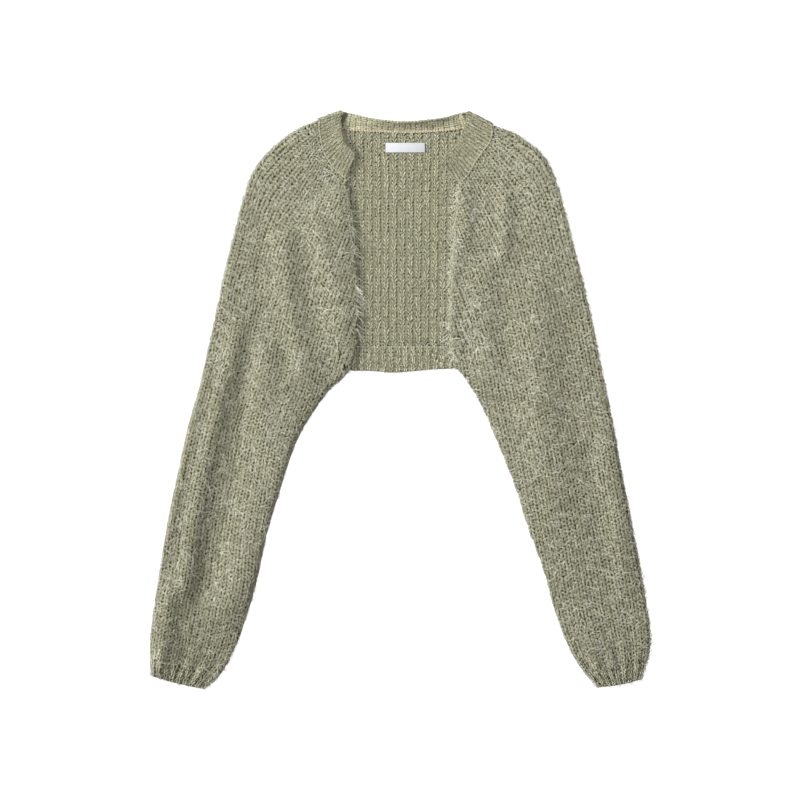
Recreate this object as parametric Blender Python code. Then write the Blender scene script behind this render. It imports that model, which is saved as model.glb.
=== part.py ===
"""Knitted shrug, laid flat on its back with its front up.

Two long sleeves, each one knitted tube whose open upper end is the front
edge, are joined by a straight back panel with a ribbed hem.  One ribbed band
runs up the left front end, round the back of the neck and down to the right
front end.  A narrow ribbed cuff gathers each sleeve, and a blank woven label
lies below the back neck.

Sizes and tables are in millimetres: +X to the viewer's right, +Y towards the
neck, +Z up from the surface that the shrug lies on.
"""

import math
from collections import namedtuple

import bmesh
import bpy
import numpy as np

MM = 0.001

# -------------------------------------------------------------------- sizes
WALL = 2.8              # brushed knit, one layer
RIB_WALL = 2.6          # ribbed bands, between the ridges
RIB_RISE = 0.9          # height of a rib's ridge
SEAM_GAP = 0.3          # between two pieces that are sewn or linked
CURVED_SEAM_GAP = 0.95  # the same where both edges are curved
LAYER_GAP = 0.9         # between the lower and the upper layer of a sleeve
LINING_RISE = 2.6       # the most that the upper layer's inside lifts off
FOLD_RADIUS = 5.5       # how far a folded edge of a sleeve rounds inwards
FOLD_ANGLES = (0.0, 32.0, 62.0, 90.0)   # the rounding's steps, in degrees

SLEEVE_RINGS = 26       # sections along a sleeve
TOP_STEPS = (7, 9)      # across a sleeve's upper layer, to its corner and beyond
FLOOR_STEPS = (4, 4)    # the same across its lower layer
CUFF_FLOOR_STEPS = (3, 3)
CUFF_PARTS = (0.0, 0.5, 1.0)    # a cuff's sections, as parts of its length
SWELL_POWER = 0.7       # below 1, a layer swells fuller towards its edges
GATHERS = 5             # soft gathers across one layer above a cuff
GATHER_START = 0.3      # the part of a gather that lies before the underarm
GATHER_RISE = 1.1
GATHER_LEVEL = 0.6      # the gathers' mean height, in rises
GATHER_LENGTH = 46.0
FOLD_RUN_OUT = 0.25     # the part of a soft fold over which each end runs out

STEPS_PER_RIB = 4       # two on the ridge and two in the valley
NECK_RIBS = 56          # from one front end of the band to the other
HEM_RIBS = 14
CUFF_RIBS = 9           # across one layer of a cuff
BACK_COLUMNS = 13       # wale columns across the back panel
COLUMN_RISE = 0.5
PANEL_WALL = 2.6
PANEL_ROWS = (0.0, 0.12, 0.36, 0.6, 0.84, 0.98, 1.0)
HEM_ROWS = (0.0, 0.5, 0.9, 1.0)
HEM_TOP = 65.0          # where the hem's rib meets the back panel
HEM_SIDE_GAP = 0.7      # at the hem's ends, clear of the underarm's rounding
RIDGE_FADE = 5.0        # over which ridges run out at an edge below a layer

BAND_TURN = 2.2         # radius of the neckband's turn at a shoulder
TURN_ANGLES = (90.0, 45.0, 0.0, -45.0, -90.0)
BACK_SEAM_LOW = 330.0   # the neckband's seam lies above this line in the back
BACK_RIBS_HALF = 82.0   # half the width over which the band's inside shows
BACK_RIBS_FADE = 12.0   # and the stretch at each end where its ridges run out
TABLE_FADE = 1.2        # height over which ridges fade out near the surface

LABEL_WIDTH = 49.0
LABEL_HEIGHT = 12.0
LABEL_THICK = 0.6
LABEL_CENTRE = (6.5, 314.0)

SAGE = (0.30, 0.29, 0.205)
LABEL_WHITE = (0.74, 0.76, 0.79)
KNIT_ROUGHNESS = 0.95
LABEL_ROUGHNESS = 0.8

# ------------------------------------------------------------------- tables
# A section across a sleeve: its point on the underarm edge, its point on the
# outer folded edge, and how far the upper layer swells between them.
Section = namedtuple("Section", "under_x under_y over_x over_y swell")

LEFT_SLEEVE = [
    Section(-227.0, -347.5, -312.0, -325.0, 1.6),
    Section(-211.0, -323.0, -312.0, -299.0, 2.4),
    Section(-196.0, -285.0, -307.5, -260.0, 2.2),
    Section(-180.0, -231.0, -299.0, -205.0, 1.8),
    Section(-166.0, -167.5, -288.0, -141.0, 1.6),
    Section(-152.5, -122.5, -278.0, -94.0, 1.6),
    Section(-132.5, -61.0, -264.0, -31.0, 1.6),
    Section(-112.5, -22.5, -250.5, 16.0, 1.6),
    Section(-89.0, 9.5, -233.0, 96.0, 1.5),
    Section(-75.0, 22.5, -213.0, 186.0, 1.4),
    Section(-67.5, 30.0, -184.5, 284.0, 1.2),
    Section(-64.5, 33.0, -142.0, 329.5, 1.0),
]
RIGHT_SLEEVE = [
    Section(230.0, -342.0, 310.5, -327.5, 1.6),
    Section(212.5, -314.0, 314.0, -296.0, 2.4),
    Section(195.0, -271.0, 308.0, -251.0, 2.1),
    Section(176.5, -207.5, 298.0, -195.0, 1.8),
    Section(160.5, -164.0, 287.5, -141.0, 1.6),
    Section(142.0, -106.0, 277.5, -91.0, 1.6),
    Section(123.0, -59.0, 266.0, -27.5, 1.6),
    Section(105.5, -17.5, 255.0, 27.5, 1.6),
    Section(90.0, 11.0, 239.0, 106.0, 1.5),
    Section(78.0, 29.0, 217.5, 192.5, 1.4),
    Section(72.0, 35.0, 189.0, 290.0, 1.2),
    Section(69.5, 36.8, 152.0, 328.0, 1.0),
]
END_SWELL = 0.8         # of a sleeve's upper layer at its open end

# The free end of a cuff: its two corners, and how far its middle bows out.
CuffEnd = namedtuple("CuffEnd", "under_x under_y over_x over_y bow swell")

LEFT_CUFF_END = CuffEnd(-243.0, -362.5, -311.5, -345.5, 1.5, 1.4)
RIGHT_CUFF_END = CuffEnd(246.0, -360.0, 302.0, -350.0, 2.0, 1.4)

# The open upper end of a sleeve, from the underarm corner upwards.  share is
# the part of the sleeve's wales that lies on the underarm's side of the point.
EndPoint = namedtuple("EndPoint", "share x y")

LEFT_FRONT_EDGE = [
    EndPoint(0.0, -62.5, 35.5),
    EndPoint(0.05, -57.0, 67.5),
    EndPoint(0.14, -55.0, 124.0),
    EndPoint(0.27, -57.5, 180.0),
    EndPoint(0.41, -62.5, 234.0),
]
RIGHT_FRONT_EDGE = [
    EndPoint(0.0, 67.5, 38.0),
    EndPoint(0.05, 62.5, 67.5),
    EndPoint(0.14, 62.5, 124.0),
    EndPoint(0.27, 65.5, 180.0),
    EndPoint(0.41, 68.5, 232.5),
]
LEFT_BACK_SEAM = [EndPoint(0.0, -62.5, 35.5)]
RIGHT_BACK_SEAM = [EndPoint(0.0, 67.5, 38.0)]
FRONT_CORNER_SHARE = 0.52   # at the corner of the neckband's front end
BACK_CORNER_SHARE = 0.76    # at the back panel's upper corner

# A section across the neckband: its free rim, its seam, and the height of
# the wall's middle at each.
BandRow = namedtuple("BandRow", "rim_x rim_y seam_x seam_y rim_z seam_z")

BAND_LEFT_FRONT = [
    BandRow(-55.0, 307.0, -67.5, 275.0, 7.4, 7.0),
    BandRow(-62.5, 314.0, -79.5, 284.5, 7.0, 6.6),
    BandRow(-68.0, 321.0, -89.5, 297.5, 6.6, 6.2),
    BandRow(-71.0, 330.5, -96.5, 311.0, 6.4, 6.0),
    BandRow(-73.0, 341.0, -99.5, 326.0, 6.3, 6.0),
    BandRow(-74.0, 352.0, -101.5, 340.0, 6.2, 6.0),
]
BAND_BACK = [
    BandRow(-68.5, 358.0, -86.0, 341.5, 1.7, 1.6),
    BandRow(-60.0, 356.0, -64.5, 336.3, 3.6, 1.6),
    BandRow(-42.5, 351.7, -44.0, 334.8, 9.5, 2.0),
    BandRow(-19.0, 347.4, -20.0, 333.7, 14.5, 2.3),
    BandRow(6.0, 345.8, 6.0, 332.8, 16.0, 2.4),
    BandRow(32.0, 347.6, 33.0, 333.7, 14.5, 2.3),
    BandRow(54.0, 351.0, 56.0, 335.3, 9.5, 2.0),
    BandRow(70.0, 355.5, 72.5, 337.5, 3.4, 1.6),
    BandRow(79.5, 358.0, 97.0, 341.0, 1.7, 1.6),
]
BAND_RIGHT_FRONT = [
    BandRow(83.5, 351.0, 115.5, 333.0, 6.0, 6.0),
    BandRow(80.5, 340.0, 112.0, 321.0, 6.0, 6.0),
    BandRow(76.0, 329.0, 104.0, 309.5, 6.0, 6.0),
    BandRow(70.5, 320.0, 95.0, 297.5, 6.0, 6.0),
    BandRow(62.5, 313.0, 87.5, 284.0, 6.0, 6.0),
    BandRow(58.0, 307.5, 80.0, 274.0, 6.0, 6.0),
    BandRow(56.0, 300.0, 72.0, 266.0, 6.0, 6.0),
]
BAND_LEFT_FOLD = BandRow(-74.0, 361.0, -102.5, 351.0, 3.9, 3.9)
BAND_RIGHT_FOLD = BandRow(85.5, 360.5, 117.0, 344.0, 3.9, 3.9)
BAND_RISE_PROFILE = (0.0, 0.16, 0.52, 1.0)    # seam to rim, at even steps

# A point of the back hem's lower edge.
HemPoint = namedtuple("HemPoint", "x y")

HEM_EDGE = [
    HemPoint(-62.5, 35.5),
    HemPoint(-31.0, 35.0),
    HemPoint(0.0, 33.0),
    HemPoint(27.5, 34.5),
    HemPoint(50.0, 37.0),
    HemPoint(67.5, 38.0),
]

# A soft fold in a sleeve's upper layer, along three points.  A ridge has a
# positive rise and a trough a negative one.
Fold = namedtuple("Fold", "x0 y0 x1 y1 x2 y2 half_width rise")

LEFT_FOLDS = [
    Fold(-226.0, 68.0, -254.0, -80.0, -300.0, -300.0, 14.0, 3.4),
    Fold(-196.0, 68.0, -229.0, -90.0, -284.0, -332.0, 9.0, -2.6),
    Fold(-172.0, 120.0, -196.0, -90.0, -238.0, -300.0, 15.0, 2.6),
    Fold(-129.0, 218.0, -119.0, 136.0, -100.0, 55.0, 11.0, -1.8),
    Fold(-156.0, 240.0, -158.0, 160.0, -168.0, 90.0, 14.0, 1.4),
    Fold(-96.0, 215.0, -82.0, 124.0, -76.0, 60.0, 10.0, 1.4),
    Fold(-57.0, 40.0, -54.0, 140.0, -64.0, 262.0, 13.0, 2.6),
]
RIGHT_FOLDS = [
    Fold(100.0, 280.0, 97.0, 245.0, 93.0, 200.0, 9.0, -1.2),
    Fold(121.0, 266.0, 125.0, 225.0, 128.0, 180.0, 11.0, 1.6),
    Fold(146.0, 270.0, 145.0, 186.0, 128.0, 90.0, 9.0, -1.8),
    Fold(168.0, 210.0, 175.0, 130.0, 184.0, 50.0, 15.0, 1.5),
    Fold(204.0, 60.0, 223.0, -80.0, 216.0, -190.0, 12.0, -2.2),
    Fold(246.0, -20.0, 256.0, -130.0, 262.0, -250.0, 15.0, 1.8),
    Fold(150.0, 10.0, 182.0, -110.0, 204.0, -225.0, 16.0, 2.0),
    Fold(66.0, 60.0, 65.0, 140.0, 69.0, 235.0, 10.0, 0.8),
]


# ------------------------------------------------------------------- curves
def spline(points, places, knots=None):
    """Read a smooth curve through points at places on the scale of its knots.

    Without knots, the places are counted in points.
    """
    points = np.asarray(points, float)
    knots = np.arange(len(points), dtype=float) if knots is None else knots
    spans = np.diff(knots)
    steps = [(two - one) / span for one, two, span in zip(points, points[1:], spans)]
    slopes = [steps[0]]
    for i in range(1, len(steps)):
        share = spans[i] / (spans[i - 1] + spans[i])
        slopes.append(steps[i - 1] * share + steps[i] * (1.0 - share))
    slopes.append(steps[-1])
    read = []
    for place in places:
        i = int(np.clip(np.searchsorted(knots, place, "right") - 1, 0, len(steps) - 1))
        f = (place - knots[i]) / spans[i]
        read.append((2 * f**3 - 3 * f**2 + 1) * points[i]
                    + (f**3 - 2 * f**2 + f) * slopes[i] * spans[i]
                    + (3 * f**2 - 2 * f**3) * points[i + 1]
                    + (f**3 - f**2) * slopes[i + 1] * spans[i])
    return np.array(read)


def run_length(points):
    """Measure the length along a chain of points up to each of them."""
    steps = np.linalg.norm(np.diff(points, axis=0), axis=1)
    return np.concatenate([[0.0], np.cumsum(steps)])


def even_places(points, count):
    """Give count places on the curve through points, evenly far apart."""
    last = len(points) - 1
    fine = np.linspace(0.0, last, last * 20 + 1)
    run = run_length(spline(points, fine))
    return np.interp(np.linspace(0.0, run[-1], count), run, fine)


def ease(value):
    """Turn 0..1 into a smooth 0..1, and hold it beyond the ends."""
    value = np.clip(value, 0.0, 1.0)
    return value * value * (3.0 - 2.0 * value)


def soft_floor(rise, softness=0.5):
    """Keep a rise above zero without a kink where it would pass it."""
    return softness * np.logaddexp(0.0, rise / softness)


def fullness(shares):
    """Give a layer's swell across its width, 0 at both edges and 1 between."""
    return np.sin(math.pi * shares) ** SWELL_POWER


def ridges(steps):
    """Give 1 on a rib's ridge and 0 in its valley for each step."""
    return np.array([1.0 if step % STEPS_PER_RIB in (1, 2) else 0.0 for step in steps])


# -------------------------------------------------------------------- walls
def add_faces(bm, rows, flip):
    """Join rows of vertices, each as long as the next, with quads."""
    for one, two in zip(rows, rows[1:]):
        for a, b, c, d in zip(one, one[1:], two[1:], two):
            bm.faces.new((a, d, c, b) if flip else (a, b, c, d))


def wall(name, face, lining, around, material):
    """Make a closed wall between two grids of points, both lists of rows.

    With around, the rows are rings and the wall is a tube open at both ends.
    """
    bm = bmesh.new()
    outer = [[bm.verts.new(point * MM) for point in row] for row in face]
    inner = [[bm.verts.new(point * MM) for point in row] for row in lining]
    if around:
        outer = [row + row[:1] for row in outer]
        inner = [row + row[:1] for row in inner]
    add_faces(bm, outer, False)
    add_faces(bm, inner, True)
    add_faces(bm, [outer[0], inner[0]], True)
    add_faces(bm, [outer[-1], inner[-1]], False)
    if not around:
        add_faces(bm, [[row[0] for row in outer], [row[0] for row in inner]], False)
        add_faces(bm, [[row[-1] for row in outer], [row[-1] for row in inner]], True)
    bmesh.ops.recalc_face_normals(bm, faces=bm.faces)
    mesh = bpy.data.meshes.new(name)
    bm.to_mesh(mesh)
    bm.free()
    mesh.materials.append(material)
    mesh.shade_smooth()
    mesh.set_sharp_from_angle(angle=math.radians(50))
    part = bpy.data.objects.new(name, mesh)
    bpy.context.scene.collection.objects.link(part)


def textile(name, colour, roughness):
    """Make a matt textile material."""
    material = bpy.data.materials.new(name)
    material.use_nodes = True
    shader = material.node_tree.nodes["Principled BSDF"]
    shader.inputs["Base Color"].default_value = (*colour, 1.0)
    shader.inputs["Roughness"].default_value = roughness
    shader.inputs["Metallic"].default_value = 0.0
    return material


# ----------------------------------------------------------- flattened tubes
def across_shares(speeds, inset, corner, steps):
    """Give shares across a flattened tube, with its height share at each.

    speeds are the millimetres that a whole share would take at the underarm
    edge and at the outer edge.  The first and last few shares follow the
    rounding of these two folded edges, and one lies at the corner.
    """
    angles = np.radians(FOLD_ANGLES)
    near = inset + (FOLD_RADIUS - inset) * (1.0 - np.cos(angles))
    first = near / speeds[0]
    last = 1.0 - near[::-1] / speeds[1]
    below = np.linspace(first[-1], corner, steps[0] + 1)[1:]
    above = np.linspace(corner, last[0], steps[1] + 1)[1:-1]
    shares = np.concatenate([first, below, above, last])
    flat = np.ones(len(below) + len(above))
    heights = np.concatenate([np.sin(angles), flat, np.sin(angles)[::-1]])
    return shares, heights


def flat_ring(top, low, middle, inset, rise):
    """Join an upper and a lower layer into one ring of points.

    top and low are (plan points, height shares), both from the underarm edge
    to the outer edge.
    """
    top_plan, top_height = top
    low_plan, low_height = low
    upper = np.column_stack([top_plan, middle + (middle - inset + rise) * top_height])
    lower = np.column_stack([low_plan, middle - (middle - inset) * low_height])
    return np.vstack([upper, lower[1:-1][::-1]])


def fold_rise(folds, plan):
    """Add up the soft folds' heights over points in plan."""
    total = np.zeros(len(plan))
    for fold in folds:
        ends = [(fold.x0, fold.y0), (fold.x1, fold.y1), (fold.x2, fold.y2)]
        line = spline(ends, np.linspace(0.0, 2.0, 33))
        away = np.linalg.norm(plan[:, None] - line[None], axis=2)
        along = away.argmin(axis=1) / (len(line) - 1)
        body = np.exp(-(away.min(axis=1) / fold.half_width) ** 2)
        ends_left = ease(along / FOLD_RUN_OUT) * ease((1.0 - along) / FOLD_RUN_OUT)
        total += fold.rise * body * ends_left
    return total


# ------------------------------------------------------------------- sleeve
class OpenEnd:
    """One layer's end of a sleeve: an edge, a corner and the neckband's seam."""

    def __init__(self, edge, corner, seam):
        """Take the edge's rows and the seam's points from the corner on."""
        self.corner = corner
        self.edge_shares = np.array([row.share for row in edge] + [corner])
        self.edge = np.array([(row.x, row.y) for row in edge] + [tuple(seam[0])])
        runs = run_length(seam)
        self.seam_shares = corner + (1.0 - corner) * runs / runs[-1]
        self.seam = seam

    def read(self, shares):
        """Read the end's points at rising shares of the sleeve's wales."""
        shares = np.asarray(shares)
        low = spline(self.edge, shares[shares < self.corner], self.edge_shares)
        high = spline(self.seam, shares[shares >= self.corner], self.seam_shares)
        return np.concatenate([low, high])

    def speeds(self):
        """Measure the millimetres that a whole share would take at each end."""
        small = 0.01
        points = self.read([0.0, small, 1.0 - small, 1.0])
        return math.dist(points[0], points[1]) / small, math.dist(points[2], points[3]) / small


def layer_ring(sections, end, place, inset, steps):
    """Place one layer's points in plan at a place along a sleeve's sections.

    It gives the points, their shares and the height share at each.
    """
    widths = [math.dist(row[0:2], row[2:4]) for row in sections]
    numbers = range(len(sections) + 1)
    speeds = [np.interp(place, numbers, widths + [speed]) for speed in end.speeds()]
    shares, heights = across_shares(speeds, inset, end.corner, steps)
    rows = []
    for row in sections:
        under = np.array([row.under_x, row.under_y])
        over = np.array([row.over_x, row.over_y])
        rows.append(under + shares[:, None] * (over - under))
    rows.append(end.read(shares))
    return spline(rows, [place])[0], shares, heights


def sleeve_rings(sections, folds, front_end, back_end, inset):
    """Work out the rings of a sleeve's wall, inset from its outer face."""
    outline = [(row.over_x, row.over_y) for row in sections]
    outline.append(tuple(front_end.seam[-1]))
    places = even_places(outline, SLEEVE_RINGS)
    runs = run_length(spline(outline, places))
    swells = [row.swell for row in sections] + [END_SWELL]
    middle = WALL + LAYER_GAP / 2
    rings = []
    for place, run in zip(places, runs):
        top, shares, top_height = layer_ring(sections, front_end, place, inset, TOP_STEPS)
        low, _, low_height = layer_ring(sections, back_end, place, inset, FLOOR_STEPS)
        waves = GATHER_LEVEL - np.cos(2 * math.pi * (GATHERS * shares + GATHER_START))
        gathers = GATHER_RISE * waves * ease(1.0 - run / GATHER_LENGTH)
        swell = np.interp(place, range(len(swells)), swells) * fullness(shares)
        rise = soft_floor(swell + gathers + fold_rise(folds, top))
        if inset > 0.0:
            rise = LINING_RISE * np.tanh(rise / LINING_RISE)
        rings.append(flat_ring((top, top_height), (low, low_height), middle, inset, rise))
    return rings


def make_sleeve(name, sections, folds, front_end, back_end, material):
    """Make one sleeve, a tube with two folded edges."""
    face = sleeve_rings(sections, folds, front_end, back_end, 0.0)
    lining = sleeve_rings(sections, folds, front_end, back_end, WALL)
    wall(name, face, lining, True, material)


# -------------------------------------------------------------------- cuffs
def cuff_rings(section, end, inset):
    """Work out the rings of a cuff, from the sleeve's first section down."""
    under = np.array([section.under_x, section.under_y])
    over = np.array([section.over_x, section.over_y])
    end_under = np.array([end.under_x, end.under_y])
    end_over = np.array([end.over_x, end.over_y])
    down = (end_under + end_over) / 2 - (under + over) / 2
    down = down / np.linalg.norm(down)
    middle = RIB_WALL + LAYER_GAP / 2
    half = CUFF_RIBS * STEPS_PER_RIB // 2
    rings = []
    for part in CUFF_PARTS:
        one = under + (end_under - under) * part + down * SEAM_GAP * (1.0 - part)
        two = over + (end_over - over) * part + down * SEAM_GAP * (1.0 - part)
        speeds = (math.dist(one, two), math.dist(one, two))
        top_share, top_height = across_shares(speeds, inset, 0.5, (half, half))
        low_share, low_height = across_shares(speeds, inset, 0.5, CUFF_FLOOR_STEPS)
        bow = end.bow * part * down
        top = one + top_share[:, None] * (two - one)
        top = top + bow * np.sin(math.pi * top_share)[:, None]
        low = one + low_share[:, None] * (two - one)
        low = low + bow * np.sin(math.pi * low_share)[:, None]
        swell = section.swell + (end.swell - section.swell) * part
        rise = swell * fullness(top_share)
        if inset == 0.0:
            steps = range(1 - len(FOLD_ANGLES), len(top_share) + 1 - len(FOLD_ANGLES))
            rise = rise + RIB_RISE * ridges(steps) * top_height
        rings.append(flat_ring((top, top_height), (low, low_height), middle, inset, rise))
    return rings


def make_cuff(name, section, end, material):
    """Make one cuff, a short ribbed tube."""
    face = cuff_rings(section, end, 0.0)
    lining = cuff_rings(section, end, RIB_WALL)
    wall(name, face, lining, True, material)


# ----------------------------------------------------------------- neckband
def band_turn(fold, toward):
    """List the rows of the neckband's turn over a shoulder, front to back."""
    rim = np.array([fold.rim_x, fold.rim_y])
    seam = np.array([fold.seam_x, fold.seam_y])
    along = (seam - rim) / np.linalg.norm(seam - rim)
    inward = np.array([along[1], -along[0]])
    inward = inward * np.sign(inward @ (np.array([toward.rim_x, toward.rim_y]) - rim))
    rows = []
    for angle in np.radians(TURN_ANGLES):
        shift = inward * (RIB_WALL / 2 + BAND_TURN * (1.0 - math.cos(angle)))
        height = BAND_TURN * math.sin(angle)
        rows.append(BandRow(*(rim + shift), *(seam + shift),
                            fold.rim_z + height, fold.seam_z + height))
    return rows


class BandLines:
    """The neckband's rim and seam as fine lines, from front end to front end."""

    def __init__(self):
        """Work out both lines from the rows and their turns."""
        left = band_turn(BAND_LEFT_FOLD, BAND_LEFT_FRONT[-1])
        right = band_turn(BAND_RIGHT_FOLD, BAND_RIGHT_FRONT[0])
        self.left_fold = left[2]
        self.right_fold = right[2]
        rows = BAND_LEFT_FRONT + left + BAND_BACK + right[::-1] + BAND_RIGHT_FRONT
        rims = np.array([(row.rim_x, row.rim_y, row.rim_z) for row in rows])
        seams = np.array([(row.seam_x, row.seam_y, row.seam_z) for row in rows])
        knots = run_length((rims + seams) / 2)
        places = np.linspace(0.0, knots[-1], NECK_RIBS * STEPS_PER_RIB)
        self.rim = spline(rims, places, knots)
        self.seam = spline(seams, places, knots)

    def nearest(self, row):
        """Find the seam's point that is nearest to a row's."""
        away = self.seam - (row.seam_x, row.seam_y, row.seam_z)
        return int(np.linalg.norm(away, axis=1).argmin())

    def stretch(self, first, last):
        """List the seam's points in plan from one row to another."""
        one, two = self.nearest(first), self.nearest(last)
        step = 1 if two > one else -1
        return self.seam[np.arange(one, two + step, step), :2]


def make_neckband(name, lines, material):
    """Make the neckband, one ribbed strip that turns over both shoulders."""
    rim = lines.rim
    inward = rim[:, :2] - lines.seam[:, :2]
    inward = inward / np.linalg.norm(inward, axis=1)[:, None]
    seam = lines.seam.copy()
    seam[:, :2] += inward * CURVED_SEAM_GAP
    middle = []
    for step, rise in enumerate(BAND_RISE_PROFILE):
        column = seam + (rim - seam) * step / (len(BAND_RISE_PROFILE) - 1)
        column[:, 2] = seam[:, 2] + (rim[:, 2] - seam[:, 2]) * rise
        middle.append(column)
    middle = np.array(middle).transpose(1, 0, 2)
    along = np.gradient(middle, axis=0)
    across = np.gradient(middle, axis=1)
    normal = np.cross(across, along)
    normal = normal / np.linalg.norm(normal, axis=2)[:, :, None]
    ridge = RIB_RISE * ridges(range(len(rim)))[:, None]
    hollow = RIB_RISE - ridge
    off_table = ease((middle[:, :, 2] - RIB_WALL) / TABLE_FADE)
    from_middle = np.abs(seam[:, 0] - LABEL_CENTRE[0])
    shows_inside = ease((BACK_RIBS_HALF - from_middle) / BACK_RIBS_FADE)
    shows_inside = (shows_inside * (seam[:, 1] > BACK_SEAM_LOW))[:, None]
    outside = RIB_WALL / 2 + ridge * off_table
    inside = RIB_WALL / 2 + hollow * shows_inside * np.ones_like(outside)
    face = middle + normal * outside[:, :, None]
    face[:, :, 2] = np.maximum(face[:, :, 2], SEAM_GAP)
    lining = middle - normal * inside[:, :, None]
    wall(name, face, lining, False, material)


# --------------------------------------------------------- back panel, label
def panel_grids(lower, upper, shares, columns, rise, rows, thick):
    """Work out a flat panel's two faces between its lower and upper edge."""
    width = math.dist(lower[0], lower[-1])
    side_fade = ease(np.minimum(shares, 1.0 - shares) * width / RIDGE_FADE)
    length = np.linalg.norm(upper - lower, axis=1).mean()
    face, lining = [], []
    for part in rows:
        plan = lower + (upper - lower) * part
        end_fade = ease((1.0 - part) * length / RIDGE_FADE)
        lift = thick + rise * columns * side_fade * end_fade
        face.append(np.column_stack([plan, lift]))
        lining.append(np.column_stack([plan, np.zeros(len(plan))]))
    return face, lining


def make_back_panel(name, lines, material):
    """Make the back panel, with its wale columns raised on the inner side."""
    count = BACK_COLUMNS * STEPS_PER_RIB
    shares = np.linspace(0.0, 1.0, count + 1)
    seam = lines.stretch(BAND_BACK[1], BAND_BACK[-2])
    upper_x = np.interp(shares, (0.0, 1.0), (seam[0, 0] + SEAM_GAP, seam[-1, 0] - SEAM_GAP))
    upper = np.column_stack([upper_x, np.interp(upper_x, seam[:, 0], seam[:, 1])])
    left = LEFT_BACK_SEAM[0].x + SEAM_GAP
    right = RIGHT_BACK_SEAM[0].x - SEAM_GAP
    lower = np.column_stack([np.interp(shares, (0.0, 1.0), (left, right)),
                             np.full(count + 1, HEM_TOP + SEAM_GAP)])
    face, lining = panel_grids(lower, upper, shares, ridges(range(count + 1)),
                               COLUMN_RISE, PANEL_ROWS, PANEL_WALL)
    wall(name, face, lining, False, material)


def make_hem(name, material):
    """Make the back hem's rib."""
    count = HEM_RIBS * STEPS_PER_RIB
    shares = np.linspace(0.0, 1.0, count + 1)
    lower = spline(HEM_EDGE, shares * (len(HEM_EDGE) - 1))
    left = HEM_EDGE[0].x + HEM_SIDE_GAP
    right = HEM_EDGE[-1].x - HEM_SIDE_GAP
    lower[:, 0] = np.interp(shares, (0.0, 1.0), (left, right))
    upper = np.column_stack([lower[:, 0], np.full(count + 1, HEM_TOP)])
    face, lining = panel_grids(lower, upper, shares, ridges(range(count + 1)),
                               RIB_RISE, HEM_ROWS, RIB_WALL)
    wall(name, face, lining, False, material)


def make_label(name, material):
    """Make the blank woven label, laid on the back panel's columns."""
    x, y = LABEL_CENTRE
    low = PANEL_WALL + COLUMN_RISE + SEAM_GAP
    face, lining = [], []
    for side in (-0.5, 0.5):
        ends = [(x + end * LABEL_WIDTH, y + side * LABEL_HEIGHT) for end in (-0.5, 0.5)]
        face.append(np.array([(*end, low + LABEL_THICK) for end in ends]))
        lining.append(np.array([(*end, low) for end in ends]))
    wall(name, face, lining, False, material)


def main():
    """Clear the scene and build the shrug."""
    for old in list(bpy.data.objects):
        bpy.data.objects.remove(old, do_unlink=True)

    lines = BandLines()
    left_front = OpenEnd(LEFT_FRONT_EDGE, FRONT_CORNER_SHARE,
                         lines.stretch(BAND_LEFT_FRONT[0], lines.left_fold))
    left_back = OpenEnd(LEFT_BACK_SEAM, BACK_CORNER_SHARE,
                        lines.stretch(BAND_BACK[1], lines.left_fold))
    right_front = OpenEnd(RIGHT_FRONT_EDGE, FRONT_CORNER_SHARE,
                          lines.stretch(BAND_RIGHT_FRONT[-1], lines.right_fold))
    right_back = OpenEnd(RIGHT_BACK_SEAM, BACK_CORNER_SHARE,
                         lines.stretch(BAND_BACK[-2], lines.right_fold))

    make_sleeve("sleeve_left", LEFT_SLEEVE, LEFT_FOLDS, left_front, left_back,
                textile("brushed_knit_left", SAGE, KNIT_ROUGHNESS))
    make_sleeve("sleeve_right", RIGHT_SLEEVE, RIGHT_FOLDS, right_front, right_back,
                textile("brushed_knit_right", SAGE, KNIT_ROUGHNESS))
    make_back_panel("back_panel", lines,
                    textile("brushed_knit_back", SAGE, KNIT_ROUGHNESS))
    make_hem("hem_rib", textile("rib_hem", SAGE, KNIT_ROUGHNESS))
    make_neckband("neckband", lines, textile("rib_neckband", SAGE, KNIT_ROUGHNESS))
    make_cuff("cuff_left", LEFT_SLEEVE[0], LEFT_CUFF_END,
              textile("rib_cuff_left", SAGE, KNIT_ROUGHNESS))
    make_cuff("cuff_right", RIGHT_SLEEVE[0], RIGHT_CUFF_END,
              textile("rib_cuff_right", SAGE, KNIT_ROUGHNESS))
    make_label("neck_label", textile("woven_label", LABEL_WHITE, LABEL_ROUGHNESS))


main()
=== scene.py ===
"""Dress a knitted shrug that lies flat on its back with its open front up.

Every piece of cloth is a thin shell on the form of its solid, with real
stitches knitted over it, one yarn loop at a time, and a coat of loose hairs.
Sizes and tables are in millimetres: +X to the viewer's right, +Y towards the
neck, +Z up from the surface that the shrug lies on.
"""

import logging
import math
from dataclasses import dataclass, field, replace
from enum import Enum
from functools import partial
from typing import Callable

import bmesh
import bpy
import numpy as np
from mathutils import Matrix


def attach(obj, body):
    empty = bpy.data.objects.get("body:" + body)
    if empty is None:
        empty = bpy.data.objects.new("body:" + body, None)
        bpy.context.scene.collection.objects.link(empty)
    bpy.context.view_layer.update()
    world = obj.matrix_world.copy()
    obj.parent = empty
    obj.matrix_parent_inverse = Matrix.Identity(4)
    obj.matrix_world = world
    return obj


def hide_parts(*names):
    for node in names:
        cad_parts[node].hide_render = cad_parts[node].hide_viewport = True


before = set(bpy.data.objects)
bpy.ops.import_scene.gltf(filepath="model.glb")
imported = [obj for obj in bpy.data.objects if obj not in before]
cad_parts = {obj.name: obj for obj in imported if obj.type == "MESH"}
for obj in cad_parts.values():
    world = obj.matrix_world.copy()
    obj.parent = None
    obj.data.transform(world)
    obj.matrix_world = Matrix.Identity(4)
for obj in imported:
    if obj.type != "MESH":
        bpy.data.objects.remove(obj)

Array = np.ndarray
Material = bpy.types.Material
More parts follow.
